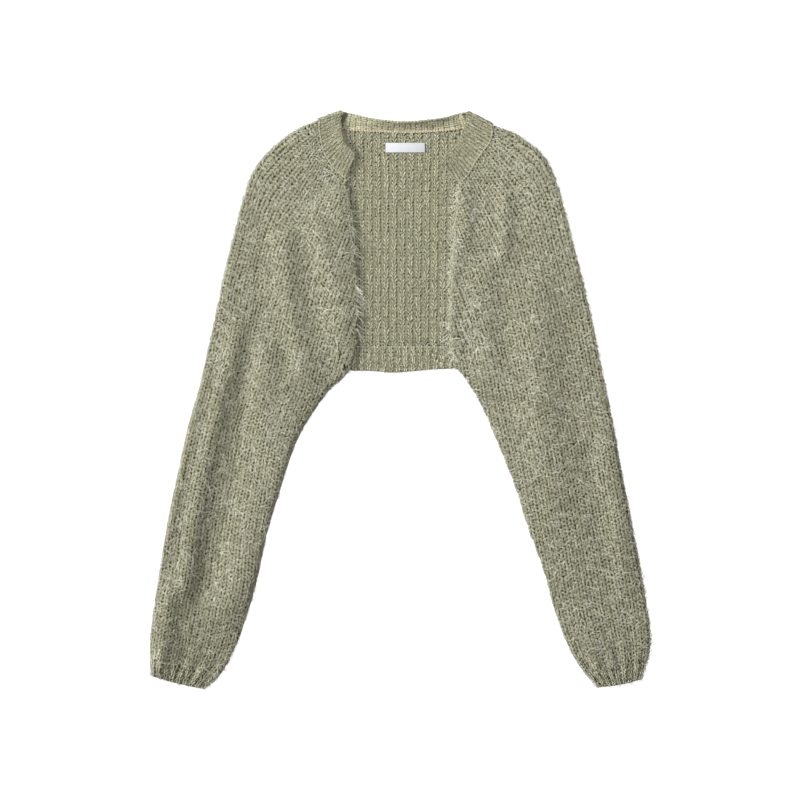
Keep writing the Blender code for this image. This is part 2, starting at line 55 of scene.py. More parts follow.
Node = bpy.types.Node
Piece = bpy.types.Object

LOG = logging.getLogger("shrug")
MM = 0.001
BODY = "root"
UP = np.array([0.0, 0.0, 1.0])
LOWEST = 0.05           # nothing reaches below this height

# -------------------------------------------------------------- cloth sizes
WALL = 2.8              # brushed knit, one layer
RIB_WALL = 2.6          # ribbed bands, between the ridges
PANEL_WALL = 2.6
SEAM_GAP = 0.3
CURVED_SEAM_GAP = 0.95
LAYER_GAP = 0.9         # between the lower and the upper layer of a sleeve
FOLD_RADIUS = 5.5       # how far a folded edge of a sleeve rounds inwards
YARN_DEPTH = 1.3        # how deep the stitches' feet lie under the cloth's face
GROUND_DEPTH = 1.9      # and the ground between them
SHELL_WALL = 0.9        # the ground's own thickness
EDGE_INSET = 1.2        # how far the lower layer stays inside the stitched edge

WALE = 8.5              # stockinette, width and height of a stitch
COURSE = 4.7
RIB_COURSE = 4.4
BAND_COURSE = 4.1

SWELL_POWER = 0.7       # under 1, the upper layer rises steeply from its folds
GATHERS = 5             # small folds across the end of a sleeve
GATHER_START = 0.3
GATHER_RISE = 1.1
GATHER_LEVEL = 0.6
GATHER_LENGTH = 46.0

NECK_RIBS = 56
FRONT_RIB_PITCH = 4.3
BACK_RIB_PITCH = 6.9
HEM_RIBS = 14
CUFF_RIBS = 9
BACK_COLUMNS = 13
HEM_TOP = 65.0
HEM_SIDE_GAP = 0.7
BAND_TURN = 2.2
TURN_ANGLES = (90.0, 45.0, 0.0, -45.0, -90.0)


# -------------------------------------------------------------------- tables
@dataclass(frozen=True)
class Section:
    """A section across a sleeve, from its underarm edge to its outer edge.

    swell is how far the upper layer lifts, wales how many it has here, and
    crowd how many of them lean over towards the outer edge.
    """

    under: tuple[float, float]
    over: tuple[float, float]
    swell: float
    wales: float
    crowd: float = 0.0


@dataclass(frozen=True)
class CuffEnd:
    """The free end of a cuff: two corners and how far its middle bows out."""

    under: tuple[float, float]
    over: tuple[float, float]
    bow: float
    swell: float


@dataclass(frozen=True)
class EndPoint:
    """A point of a sleeve's open end, at a share of the sleeve's wales."""

    share: float
    x: float
    y: float


@dataclass(frozen=True)
class BandRow:
    """A section across the neckband, at its free rim and at its seam."""

    rim: tuple[float, float, float]
    seam: tuple[float, float, float]


@dataclass(frozen=True)
class Fold:
    """A soft fold along three points; a trough has a negative rise.

    It runs out over a part of its length at both ends.
    """

    start: tuple[float, float]
    middle: tuple[float, float]
    end: tuple[float, float]
    half_width: float
    rise: float
    run_out: float = 0.25


LEFT_SLEEVE = [Section(*row) for row in (
    ((-227.0, -347.5), (-312.0, -325.0), 1.6, 13.2),
    ((-211.0, -323.0), (-312.0, -299.0), 1.5, 13.3),
    ((-196.0, -285.0), (-307.5, -260.0), 1.5, 13.6),
    ((-180.0, -231.0), (-299.0, -205.0), 1.8, 14.1),
    ((-166.0, -167.5), (-288.0, -141.0), 1.6, 14.8),
    ((-152.5, -122.5), (-278.0, -94.0), 1.6, 15.5),
    ((-132.5, -61.0), (-264.0, -31.0), 1.6, 16.7),
    ((-112.5, -22.5), (-250.5, 16.0), 1.6, 17.7),
    ((-89.0, 9.5), (-233.0, 96.0), 1.5, 19.3),
    ((-75.0, 22.5), (-213.0, 186.0), 1.4, 20.5),
    ((-67.5, 30.0), (-184.5, 284.0), 1.2, 21.1),
    ((-64.5, 33.0), (-142.0, 329.5), 1.0, 21.3, 1.4),
)]
RIGHT_SLEEVE = [Section(*row) for row in (
    ((230.0, -342.0), (310.5, -327.5), 1.6, 13.0),
    ((212.5, -314.0), (314.0, -296.0), 2.4, 13.2),
    ((195.0, -271.0), (308.0, -251.0), 2.1, 13.6),
    ((176.5, -207.5), (298.0, -195.0), 1.8, 14.4),
    ((160.5, -164.0), (287.5, -141.0), 1.6, 15.3),
    ((142.0, -106.0), (277.5, -91.0), 1.6, 16.2),
    ((123.0, -59.0), (266.0, -27.5), 1.6, 17.3),
    ((105.5, -17.5), (255.0, 27.5), 1.6, 18.3),
    ((90.0, 11.0), (239.0, 106.0), 1.5, 19.5),
    ((78.0, 29.0), (217.5, 192.5), 1.4, 20.5),
    ((72.0, 35.0), (189.0, 290.0), 1.2, 21.1),
    ((69.5, 36.8), (152.0, 328.0), 1.0, 21.3, 1.4),
)]
END_SWELL = 0.8         # the same numbers at a sleeve's open end
END_WALES = 21.6
END_CROWD = 1.5

LEFT_CUFF_END = CuffEnd((-243.0, -362.5), (-311.5, -345.5), 1.5, 1.4)
RIGHT_CUFF_END = CuffEnd((246.0, -360.0), (302.0, -350.0), 2.0, 1.4)

LEFT_FRONT_EDGE = [EndPoint(*row) for row in (
    (0.0, -62.5, 35.5),
    (0.05, -57.0, 67.5),
    (0.14, -55.0, 124.0),
    (0.27, -57.5, 180.0),
    (0.41, -62.5, 234.0),
)]
RIGHT_FRONT_EDGE = [EndPoint(*row) for row in (
    (0.0, 67.5, 38.0),
    (0.05, 62.5, 67.5),
    (0.14, 62.5, 124.0),
    (0.27, 65.5, 180.0),
    (0.41, 68.5, 232.5),
)]
LEFT_BACK_SEAM = LEFT_FRONT_EDGE[:1]
RIGHT_BACK_SEAM = RIGHT_FRONT_EDGE[:1]
FRONT_CORNER_SHARE = 0.52       # where the neckband's seam begins
BACK_CORNER_SHARE = 0.76

BAND_LEFT_FRONT = [BandRow(*row) for row in (
    ((-55.0, 307.0, 8.6), (-67.5, 275.0, 7.0)),
    ((-62.5, 314.0, 9.0), (-79.5, 284.5, 6.6)),
    ((-68.0, 321.0, 9.2), (-89.5, 297.5, 6.2)),
    ((-71.0, 330.5, 9.2), (-96.5, 311.0, 6.0)),
    ((-73.0, 341.0, 8.8), (-99.5, 326.0, 6.0)),
    ((-74.0, 352.0, 7.2), (-101.5, 340.0, 6.0)),
)]
BAND_BACK = [BandRow(*row) for row in (
    ((-68.5, 358.0, 1.7), (-86.0, 341.5, 1.6)),
    ((-60.0, 356.0, 3.6), (-64.5, 336.3, 1.6)),
    ((-42.5, 351.7, 9.5), (-44.0, 334.8, 2.0)),
    ((-19.0, 347.4, 14.5), (-20.0, 333.7, 2.3)),
    ((6.0, 345.8, 16.0), (6.0, 332.8, 2.4)),
    ((32.0, 347.6, 14.5), (33.0, 333.7, 2.3)),
    ((54.0, 351.0, 9.5), (56.0, 335.3, 2.0)),
    ((70.0, 355.5, 3.4), (72.5, 337.5, 1.6)),
    ((79.5, 358.0, 1.7), (97.0, 341.0, 1.6)),
)]
BAND_RIGHT_FRONT = [BandRow(*row) for row in (
    ((83.5, 351.0, 6.0), (115.5, 333.0, 6.0)),
    ((80.5, 340.0, 6.0), (112.0, 321.0, 6.0)),
    ((76.0, 329.0, 6.0), (104.0, 309.5, 6.0)),
    ((70.5, 320.0, 6.0), (95.0, 297.5, 6.0)),
    ((62.5, 313.0, 6.0), (87.5, 284.0, 6.0)),
    ((58.0, 307.5, 6.0), (80.0, 274.0, 6.0)),
    ((56.0, 300.0, 6.0), (72.0, 266.0, 6.0)),
)]
BAND_LEFT_FOLD = BandRow((-74.0, 361.0, 3.9), (-102.5, 351.0, 3.9))
BAND_RIGHT_FOLD = BandRow((85.5, 360.5, 3.9), (117.0, 344.0, 3.9))
BAND_RISE_PROFILE = (0.0, 0.16, 0.52, 1.0)      # from its seam to its rim

HEM_EDGE = [
    (-62.5, 35.5),
    (-31.0, 35.0),
    (0.0, 33.0),
    (27.5, 34.5),
    (50.0, 37.0),
    (67.5, 38.0),
]

LEFT_FOLDS = [Fold(*row) for row in (
    ((-230.0, 86.2), (-269.0, -70.0), (-312.0, -239.0), 16.0, 5.0),
    ((-192.0, 130.0), (-248.0, -101.2), (-274.0, -275.0), 12.5, 8.2, 0.14),
    ((-286.0, -220.0), (-293.0, -290.0), (-301.0, -364.0), 14.0, 7.8, 0.2),
    ((-183.8, 80.0), (-214.0, -110.0), (-258.0, -290.0), 10.0, -3.0, 0.2),
    ((-162.0, 100.0), (-176.0, -110.0), (-226.0, -300.0), 20.0, 7.0, 0.13),
    ((-138.0, 50.0), (-143.0, -30.0), (-160.0, -140.0), 16.0, 4.5),
    ((-97.5, 86.2), (-140.0, -88.8), (-207.0, -301.2), 22.0, 7.0, 0.15),
    ((-207.5, 192.5), (-215.0, 136.2), (-222.5, 80.0), 16.0, 1.8),
    ((-147.5, 233.8), (-139.0, 130.0), (-118.0, 15.0), 15.0, 6.5, 0.2),
    ((-176.2, 201.2), (-177.5, 148.8), (-172.5, 86.2), 11.0, -1.4),
    ((-108.0, 261.2), (-89.0, 155.0), (-68.0, 48.8), 15.0, 6.0),
    ((-70.0, 5.0), (-67.0, 140.0), (-82.0, 273.8), 17.0, 5.4, 0.09),
)]
RIGHT_FOLDS = [Fold(*row) for row in (
    ((77.5, 273.8), (82.5, 230.0), (77.5, 167.5), 9.0, 3.4),
    ((127.0, 273.8), (132.0, 217.5), (127.0, 148.8), 10.0, 4.4),
    ((173.0, 195.0), (175.0, 11.2), (205.0, -220.0), 25.0, 5.8, 0.3),
    ((104.0, 186.2), (107.0, 98.8), (119.0, 8.8), 19.0, 4.2),
    ((247.5, 17.5), (270.0, -126.2), (288.8, -270.0), 13.0, 3.4),
    ((228.8, -38.8), (242.5, -126.2), (257.5, -213.8), 10.0, -1.7),
    ((222.5, -238.8), (237.5, -288.8), (250.0, -332.5), 12.0, 1.7),
    ((65.6, 55.0), (65.0, 136.2), (70.0, 230.0), 10.0, 1.9, 0.15),
)]


# -------------------------------------------------------------------- curves
def spline(points: Array, places: Array, knots: Array | None = None) -> Array:
    """Read a smooth curve through points.

    Args:
        points: the curve's points, of any width.
        places: where to read it, on the scale of its knots.
        knots: the points' own places; without them they are counted.

    Returns:
        One row for each place.
    """
    points = np.asarray(points, float)
    places = np.asarray(places, float)
    knots = np.arange(len(points), dtype=float) if knots is None else np.asarray(knots)
    spans = np.diff(knots)
    wide = spans.reshape((-1,) + (1,) * (points.ndim - 1))
    steps = np.diff(points, axis=0) / wide
    share = wide[1:] / (wide[:-1] + wide[1:])
    inner = steps[:-1] * share + steps[1:] * (1.0 - share)
    slopes = np.concatenate([steps[:1], inner, steps[-1:]])
    cell = np.clip(np.searchsorted(knots, places, "right") - 1, 0, len(spans) - 1)
    width = wide[cell]
    f = ((places - knots[cell]) / spans[cell]).reshape(width.shape)
    return ((2 * f**3 - 3 * f**2 + 1) * points[cell]
            + (f**3 - 2 * f**2 + f) * slopes[cell] * width
            + (3 * f**2 - 2 * f**3) * points[cell + 1]
            + (f**3 - f**2) * slopes[cell + 1] * width)


def unit(vectors: Array) -> Array:
    """Bring each vector to a length of one."""
    return vectors / np.linalg.norm(vectors, axis=-1)[..., None]


def counted(steps: Array) -> Array:
    """Add up steps, from zero on."""
    return np.concatenate([[0.0], np.cumsum(steps)])


def run_length(points: Array) -> Array:
    """Measure the length along a chain of points up to each of them."""
    return counted(np.linalg.norm(np.diff(points, axis=0), axis=1))


def even_courses(points: Array, course: float) -> Array:
    """Count courses along a grid of points by its mean length."""
    return counted(np.linalg.norm(np.diff(points, axis=1), axis=2).mean(axis=0)) / course


def even_places(points: Array, count: int) -> Array:
    """Give count places on the curve through points, evenly far apart."""
    last = len(points) - 1
    fine = np.linspace(0.0, last, last * 20 + 1)
    run = run_length(spline(points, fine))
    return np.interp(np.linspace(0.0, run[-1], count), run, fine)


def ease(value: Array | float) -> Array:
    """Turn 0..1 into a smooth 0..1, and hold it beyond the ends."""
    value = np.clip(value, 0.0, 1.0)
    return value * value * (3.0 - 2.0 * value)


def soft_floor(rise: Array, softness: float = 0.5) -> Array:
    """Keep a rise above zero without a kink where it would pass it."""
    return softness * np.logaddexp(0.0, rise / softness)


def gather_rise(shares: Array) -> Array:
    """Give the height of the small gathers across the end of a sleeve."""
    waves = GATHER_LEVEL - np.cos(2 * math.pi * (GATHERS * shares + GATHER_START))
    return GATHER_RISE * waves


def fold_rise(folds: list[Fold], plan: Array) -> Array:
    """Add up the soft folds' heights over points in plan."""
    total = np.zeros(len(plan))
    for fold in folds:
        line = spline([fold.start, fold.middle, fold.end], np.linspace(0.0, 2.0, 65))
        away = np.linalg.norm(plan[:, None] - line[None], axis=2)
        along = away.argmin(axis=1) / (len(line) - 1)
        body = np.exp(-(away.min(axis=1) / fold.half_width) ** 2)
        ends_left = ease(along / fold.run_out) * ease((1.0 - along) / fold.run_out)
        total += fold.rise * body * ends_left
    return total


# ------------------------------------------------------------------ finishes
def linear(colour: str) -> tuple[float, float, float, float]:
    """Turn an sRGB hex colour into the linear values that a node takes."""
    parts = [int(colour[i:i + 2], 16) / 255.0 for i in (1, 3, 5)]
    low = [part / 12.92 if part <= 0.04045 else ((part + 0.055) / 1.055) ** 2.4
           for part in parts]
    return (low[0], low[1], low[2], 1.0)


def add_node(tree: bpy.types.NodeTree, kind: str, inputs: dict | tuple = (), **settings
             ) -> Node:
    """Add a node to a tree.

    Args:
        tree: the material's or world's node tree.
        kind: the node's type name after its first part, ShaderNode.
        inputs: by name or number, or in order, a constant, a socket or a node
            whose first output is meant.
        settings: the node's own properties.

    Returns:
        The new node.
    """
    node = tree.nodes.new("ShaderNode" + kind)
    for name, value in settings.items():
        setattr(node, name, value)
    named = inputs if isinstance(inputs, dict) else dict(enumerate(inputs))
    for name, value in named.items():
        if isinstance(value, Node):
            value = value.outputs[0]
        if isinstance(value, bpy.types.NodeSocket):
            tree.links.new(value, node.inputs[name])
        else:
            node.inputs[name].default_value = value
    return node


def new_material(name: str) -> tuple[Material, Callable[..., Node]]:
    """Make a material without nodes, and add_node bound to its tree."""
    material = bpy.data.materials.new(name)
    material.use_nodes = True
    material.node_tree.nodes.clear()
    return material, partial(add_node, material.node_tree)


@dataclass(frozen=True)
class BrushedYarn:
    """Loosely spun wool-blend yarn, brushed after knitting.

    It gives soft matt loops, with single stitches a shade lighter or darker.
    Its colour also carries painted shade and highlight: pale where fibres
    stand up to the light at a strand's top, olive in the gaps towards its foot.
    """

    name: str = "brushed_wool_blend_yarn"
    # the ramp's dark end: darker clumps of fibre, and painted shade at the strands' feet
    dark_fibre_and_shade: str = "#78765f"
    body: str = "#a5a388"
    tip: str = "#d0ceb4"
    roughness: float = 0.92
    sheen: float = 0.25
    clump_mm: float = 1.2
    patch_mm: float = 40.0
    twists: float = 2.2             # turns of the two plies along a strand
    shade: float = -0.655           # before the parts below are added to it
    tone_part: float = 0.45         # from stitch to stitch
    clump_part: float = 1.15        # from clump to clump of fibres
    patch_part: float = 0.25        # from place to place in the cloth
    foot_shade_part: float = 0.42        # painted shade and highlight: darker towards a strand's foot, paler at its top
    ply_part: float = 0.1
    relief: float = 0.3             # of the plies, against the clumps' 1

    def material(self) -> Material:
        """Build the yarn's material."""
        material, add = new_material(self.name)
        coordinates = add("TexCoord")
        place = coordinates.outputs["Object"]
        strand = add("SeparateXYZ", (coordinates.outputs["UV"],))
        turn = add("Math", (strand.outputs[1], self.twists, strand.outputs[0]),
                   operation="MULTIPLY_ADD")
        turn = add("Math", (turn, 2 * math.pi), operation="MULTIPLY")
        plies = add("Math", (turn,), operation="SINE")
        tone = add("Attribute", attribute_name="tone").outputs["Fac"]
        # a strand's height from its foot, read as painted shade at the feet and painted
        # highlight at the tops
        depth = add("Attribute", attribute_name="depth").outputs["Fac"]
        fibre = add("TexNoise", {"Vector": place, "Scale": 1.0 / (self.clump_mm * MM),
                                 "Detail": 3.0, "Roughness": 0.7})
        patch = add("TexNoise", {"Vector": place, "Scale": 1.0 / (self.patch_mm * MM),
                                 "Detail": 2.0})
        shade = self.shade
        for source, part in ((tone, self.tone_part), (fibre, self.clump_part),
                             (patch, self.patch_part), (depth, self.foot_shade_part),
                             (plies, self.ply_part)):
            shade = add("Math", (source, part, shade), operation="MULTIPLY_ADD")
        ramp = add("ValToRGB", (shade,))
        stops = ramp.color_ramp.elements
        stops[0].color, stops[0].position = linear(self.dark_fibre_and_shade), 0.1
        stops[1].color, stops[1].position = linear(self.tip), 0.92
        stops.new(0.5).color = linear(self.body)
        relief = add("Math", (plies, self.relief, fibre), operation="MULTIPLY_ADD")
        bump = add("Bump", {"Strength": 0.7, "Distance": 0.6 * MM, "Height": relief})
        shader = add("BsdfPrincipled",
                     {"Base Color": ramp, "Normal": bump, "Roughness": self.roughness,
                      "Specular IOR Level": 0.2, "Sheen Weight": self.sheen,
                      "Sheen Roughness": 0.6, "Sheen Tint": linear(self.tip)})
        add("OutputMaterial", (shader,))
        return material


@dataclass(frozen=True)
class KnitGround:
    """The inner loops of the same knit, seen between and behind the stitches.

    Little light reaches them from above, so their colour is painted shade:
    olive between the wales and nearly black at the dot in each stitch. The
    outside of the lower layer shows its rows of loops in full colour, with
    painted shade in the low parts of its loop pattern.
    """

    name: str = "knit_ground_wool_blend"
    # painted shade: the dark dot in each stitch, and the ground between the wales
    hole_shade: str = "#2e2c21"
    valley_shade: str = "#565440"
    body: str = "#8f8d74"
    pale: str = "#b3b197"
    roughness: float = 0.95
    fibre_scale: float = 600.0
    hole_wales: float = 0.22
    hole_courses: float = 0.42
    hole_at: float = 0.0            # wales from the middle of a stitch to its holes
    hole_shift: float = 0.73        # places them along the stitch, in courses
    loop_slant: float = -1.6

    def material(self) -> Material:
        """Build the ground's material, with its rows of loops as a bump."""
        material, add = new_material(self.name)
        place = add("TexCoord")
        # outer is 0 where the ground takes painted shade, 1 on the lower layer's outside
        outer = add("Attribute", attribute_name="outer").outputs["Fac"]
        axes = add("SeparateXYZ", (place.outputs["UV"],))
        across = add("Math", (axes.outputs[0], 0.5, 0.0), operation="PINGPONG")
        across = add("Math", (0.5 - self.hole_at, across), operation="SUBTRACT")
        along = add("Math", (axes.outputs[1], self.hole_shift), operation="ADD")
        along = add("Math", (along, 0.5), operation="PINGPONG")
        along = add("Math", (0.5, along), operation="SUBTRACT")
        parts = [add("Math", (add("Math", (distance, 1.0 / reach), operation="MULTIPLY"), 2.0),
                     operation="POWER")
                 for distance, reach in ((across, self.hole_wales),
                                         (along, self.hole_courses))]
        far = add("Math", (parts[1], parts[0]), operation="ADD")
        # painted shade, darkest at the dot in each stitch
        hole_shade_mask = add("MapRange", (far, 0.4, 1.5, 1.0, 0.0))
        fibre = add("TexNoise", {"Vector": place.outputs["Object"], "Detail": 3.0,
                                 "Scale": self.fibre_scale, "Roughness": 0.65})
        mottle = add("MapRange", (fibre, 0.35, 0.65, -0.25, 0.35))
        hole_shade_mask = add("Math", (hole_shade_mask, mottle), operation="ADD", use_clamp=True)
        under = add("Mix", {0: hole_shade_mask, 6: linear(self.valley_shade), 7: linear(self.hole_shade)},
                    data_type="RGBA")
        slant = add("Math", (across, self.loop_slant, axes.outputs[1]),
                    operation="MULTIPLY_ADD")
        slant = add("Math", (slant, 2 * math.pi), operation="MULTIPLY")
        loops = add("Math", (slant,), operation="SINE")
        height = add("Math", (fibre, 2.0, loops), operation="MULTIPLY_ADD")
        # painted shade on the lower layer's outside: the loops' low parts darker, their tops
        # paler
        relief_shade = add("Math", (height, 0.2, 0.3), operation="MULTIPLY_ADD")
        knit = add("Mix", {0: relief_shade, 6: linear(self.body), 7: linear(self.pale)},
                   data_type="RGBA")
        colour = add("Mix", {0: outer, 6: under.outputs[2], 7: knit.outputs[2]},
                     data_type="RGBA")
        bump = add("Bump", {"Strength": 0.8, "Distance": 0.45 * MM, "Height": height})
        shader = add("BsdfPrincipled",
                     {"Base Color": colour.outputs[2], "Normal": bump,
                      "Roughness": self.roughness, "Specular IOR Level": 0.2,
                      "Sheen Weight": 0.15, "Sheen Roughness": 0.6,
                      "Sheen Tint": linear(self.pale)})
        add("OutputMaterial", (shader,))
        return material


@dataclass(frozen=True)
class LooseHair:
    """Brushed-out hairs of the blend, paler than the yarn they leave."""

    name: str
    root: str
    tip: str

    def material(self) -> Material:
        """Build the hairs' material, paler towards their tips."""
        material, add = new_material(self.name)
        place = add("TexCoord")
        axes = add("SeparateXYZ", (place.outputs["UV"],))
        colour = add("Mix", {0: axes.outputs[1], 6: linear(self.root), 7: linear(self.tip)},
                     data_type="RGBA")
        shader = add("BsdfPrincipled",
                     {"Base Color": colour.outputs[2], "Roughness": 0.6,
                      "Specular IOR Level": 0.3, "Sheen Weight": 0.3,
                      "Sheen Roughness": 0.4})
        add("OutputMaterial", (shader,))
        return material


@dataclass(frozen=True)
class WovenTape:
    """Plain-woven polyester label tape: white, with a fine even thread grid."""

    name: str = "woven_polyester_tape"
    thread: str = "#c3c5c8"
    gap: str = "#bdbfc4"
    thread_mm: float = 0.9          # real threads are 0.2 mm, too fine to show
    scale_mm: float = 0.314         # a wave texture repeats every 0.314 / scale

    def material(self) -> Material:
        """Build the tape's material."""
        material, add = new_material(self.name)
        place = add("TexCoord").outputs["Object"]
        threads = [add("TexWave", {"Vector": place,
                                   "Scale": self.scale_mm / (self.thread_mm * MM)},
                       bands_direction=way).outputs["Fac"] for way in ("X", "Y")]
        grid = add("Math", (threads[0], threads[1]), operation="MULTIPLY")
        colour = add("Mix", {0: grid, 6: linear(self.gap), 7: linear(self.thread)},
                     data_type="RGBA")
        bump = add("Bump", {"Strength": 0.3, "Distance": 0.1 * MM, "Height": grid})
        shader = add("BsdfPrincipled",
                     {"Base Color": colour.outputs[2], "Normal": bump,
                      "Roughness": 0.6, "Specular IOR Level": 0.4})
        add("OutputMaterial", (shader,))
        return material


# --------------------------------------------------------------- mesh making
def link(name: str, mesh: bpy.types.Mesh, material: Material) -> Piece:
    """Put a finished mesh into the scene as a piece."""
    mesh.materials.append(material)
    mesh.shade_smooth()
    piece = bpy.data.objects.new(name, mesh)
    bpy.context.scene.collection.objects.link(piece)
    return piece


def swatch(steps_across: int, steps_along: int, pointed: bool = False
           ) -> tuple[Array, Array, Array]:
    """Make a flat swatch to be bent into a strand or hair.

    Args:
        steps_across: faces across the swatch.
        steps_along: faces along it.
        pointed: whether its far end is drawn to a point, for one step along.

    Returns:
        Its vertices as shares across and along, its faces, and its faces' UVs.
    """
    bm = bmesh.new()
    bm.loops.layers.uv.new("UVMap")
    bmesh.ops.create_grid(bm, x_segments=steps_across, y_segments=steps_along, size=0.5,
                          calc_uvs=True)
    if pointed:
        bmesh.ops.pointmerge(bm, verts=[v for v in bm.verts if v.co.y > 0.0],
                             merge_co=(0.0, 0.5, 0.0))
    shares = np.array([(v.co.x + 0.5, v.co.y + 0.5) for v in bm.verts])
    bm.verts.index_update()
    faces = np.array([[v.index for v in face.verts] for face in bm.faces])
    bm.free()
    return shares, faces, shares[faces]


def cloth_sheet(name: str, points: Array, uvs: Array, outer: Array, material: Material,
                tube: bool, outward: Array, wall: float, offset: float) -> Piece:
    """Make a thin shell of cloth from a grid of points.

    Args:
        name: the piece's name.
        points: millimetres, [around, along, xyz].
        uvs: wales and courses at each point.
        outer: 1 where the full knit shows, 0 where the ground's colour is painted shade.
        material: its finish.
        tube: whether the last row of points around is also the first.
        outward: the way out of the cloth at a quarter of the way around.
        wall: the shell's thickness in millimetres.
        offset: -1 to grow it inwards, 0 to both sides.

    Returns:
        The piece.
    """
    around, along = points.shape[:2]
    bm = bmesh.new()
    layer = bm.loops.layers.uv.new("UVMap")
    bmesh.ops.create_grid(bm, x_segments=around - 1, y_segments=along - 1, size=0.5,
                          calc_uvs=True)
    shade = bm.verts.layers.float.new("outer")
    places = [(round((vert.co.x + 0.5) * (around - 1)),
               round((vert.co.y + 0.5) * (along - 1))) for vert in bm.verts]
    bm.verts.index_update()
    for face in bm.faces:
        for loop in face.loops:
            loop[layer].uv = uvs[places[loop.vert.index]]
    for vert, place in zip(bm.verts, places):
        vert[shade] = outer[place]
        vert.co = points[place] * MM
    if tube:
        bmesh.ops.remove_doubles(bm, verts=bm.verts, dist=1e-7)
    i, j = around // 4, along // 2
    across_way = points[i + 1, j] - points[i, j]
    if np.cross(across_way, points[i, j + 1] - points[i, j]) @ outward < 0.0:
        bmesh.ops.reverse_faces(bm, faces=bm.faces)
    mesh = bpy.data.meshes.new(name)
    bm.to_mesh(mesh)
    bm.free()
    piece = link(name, mesh, material)
    thickness = piece.modifiers.new("cloth_wall", "SOLIDIFY")
    thickness.thickness = wall * MM
    thickness.offset = offset
    return piece


def joined(name: str, points: Array, faces: Array, uvs: Array, paints: dict[str, Array],
           material: Material) -> Piece:
    """Join many copies of a swatch into one piece.

    Args:
        name: the piece's name.
        points: millimetres, [copy, vertex, xyz].
        faces: one swatch's faces.
        uvs: one swatch's UVs, for each face and corner.
        paints: named numbers that materials read, [copy, vertex].
        material: its finish.

    Returns:
        The piece.
    """
    copies, count = points.shape[:2]
    shift = (np.arange(copies) * count)[:, None, None]
    all_faces = (faces[None] + shift).reshape(-1, faces.shape[1])
    mesh = bpy.data.meshes.new(name)
    mesh.from_pydata((points.reshape(-1, 3) * MM), [], all_faces)
    layer = mesh.uv_layers.new(name="UVMap")
    layer.data.foreach_set("uv", np.tile(uvs.reshape(-1, 2), (copies, 1)).ravel())
    for key, values in paints.items():
        numbers = mesh.attributes.new(key, "FLOAT", "POINT")
        numbers.data.foreach_set("value", np.asarray(values, np.float32).ravel())
    return link(name, mesh, material)


class Patch:
    """A stretch of cloth as a grid of points on which stitches are counted."""

    def __init__(self, points: Array, wales: Array, courses: Array, upward: bool = True
                 ) -> None:
        """Take a grid and its counts.

        Args:
            points: millimetres, [across, along, xyz].
            wales: the count of wales at each point, rising across.
            courses: the count of courses at each point, rising along.
            upward: whether across x along points out of the cloth.
        """
        self.points = points
        self.wales = np.broadcast_to(wales, points.shape[:2])
        self.courses = np.broadcast_to(courses, points.shape[:2])
        normals = unit(np.cross(np.gradient(points, axis=0), np.gradient(points, axis=1)))
        self.normals = normals if upward else -normals

    @staticmethod
    def read(grid: Array, a: Array, b: Array) -> Array:
        """Read a grid between its nodes, and straight on past its edges."""
        i = np.clip(np.floor(a).astype(int), 0, grid.shape[0] - 2)
        j = np.clip(np.floor(b).astype(int), 0, grid.shape[1] - 2)
        f = a - i
        g = b - j
        if grid.ndim == 3:
            f = f[..., None]
            g = g[..., None]
        return (grid[i, j] * (1 - f) * (1 - g) + grid[i + 1, j] * f * (1 - g)
                + grid[i, j + 1] * (1 - f) * g + grid[i + 1, j + 1] * f * g)

    def face_up(self) -> None:
        """Turn the normals so that on the whole they point up."""
        self.normals = self.normals * np.sign(self.normals[..., 2].mean())

    def places(self) -> tuple[Array, Array]:
        """Find the middle of every stitch.

        Returns:
            Each stitch's place across and along the grid.
        """
        count, rows = self.wales.shape
        lines = np.arange(rows)
        found = []
        for wale in range(math.floor(self.wales.min()), math.ceil(self.wales.max())):
            across = np.array([np.interp(wale + 0.5, self.wales[:, j], np.arange(count),
                                         left=np.nan, right=np.nan) for j in lines])
            good = ~np.isnan(across)
            if good.sum() < 3:
                continue
            counts = self.read(self.courses, across[good], lines[good].astype(float))
            targets = np.arange(math.ceil(counts.min() - 0.5), counts.max() - 0.5) + 0.5
            if not len(targets):
                continue
            along = np.interp(targets, counts, lines[good])
            found.append(np.column_stack([np.interp(along, lines[good], across[good]),
                                          along]))
        every = np.concatenate(found)
        return every[:, 0], every[:, 1]

    def steps(self, a: Array, b: Array) -> Array:
        """Give how the place on the grid changes for one wale and one course."""
        wa, wb = np.gradient(self.wales)
        ca, cb = np.gradient(self.courses)
        wa, wb, ca, cb = (self.read(grid, a, b) for grid in (wa, wb, ca, cb))
        size = wa * cb - wb * ca
        return np.array([[cb / size, -wb / size], [-ca / size, wa / size]])


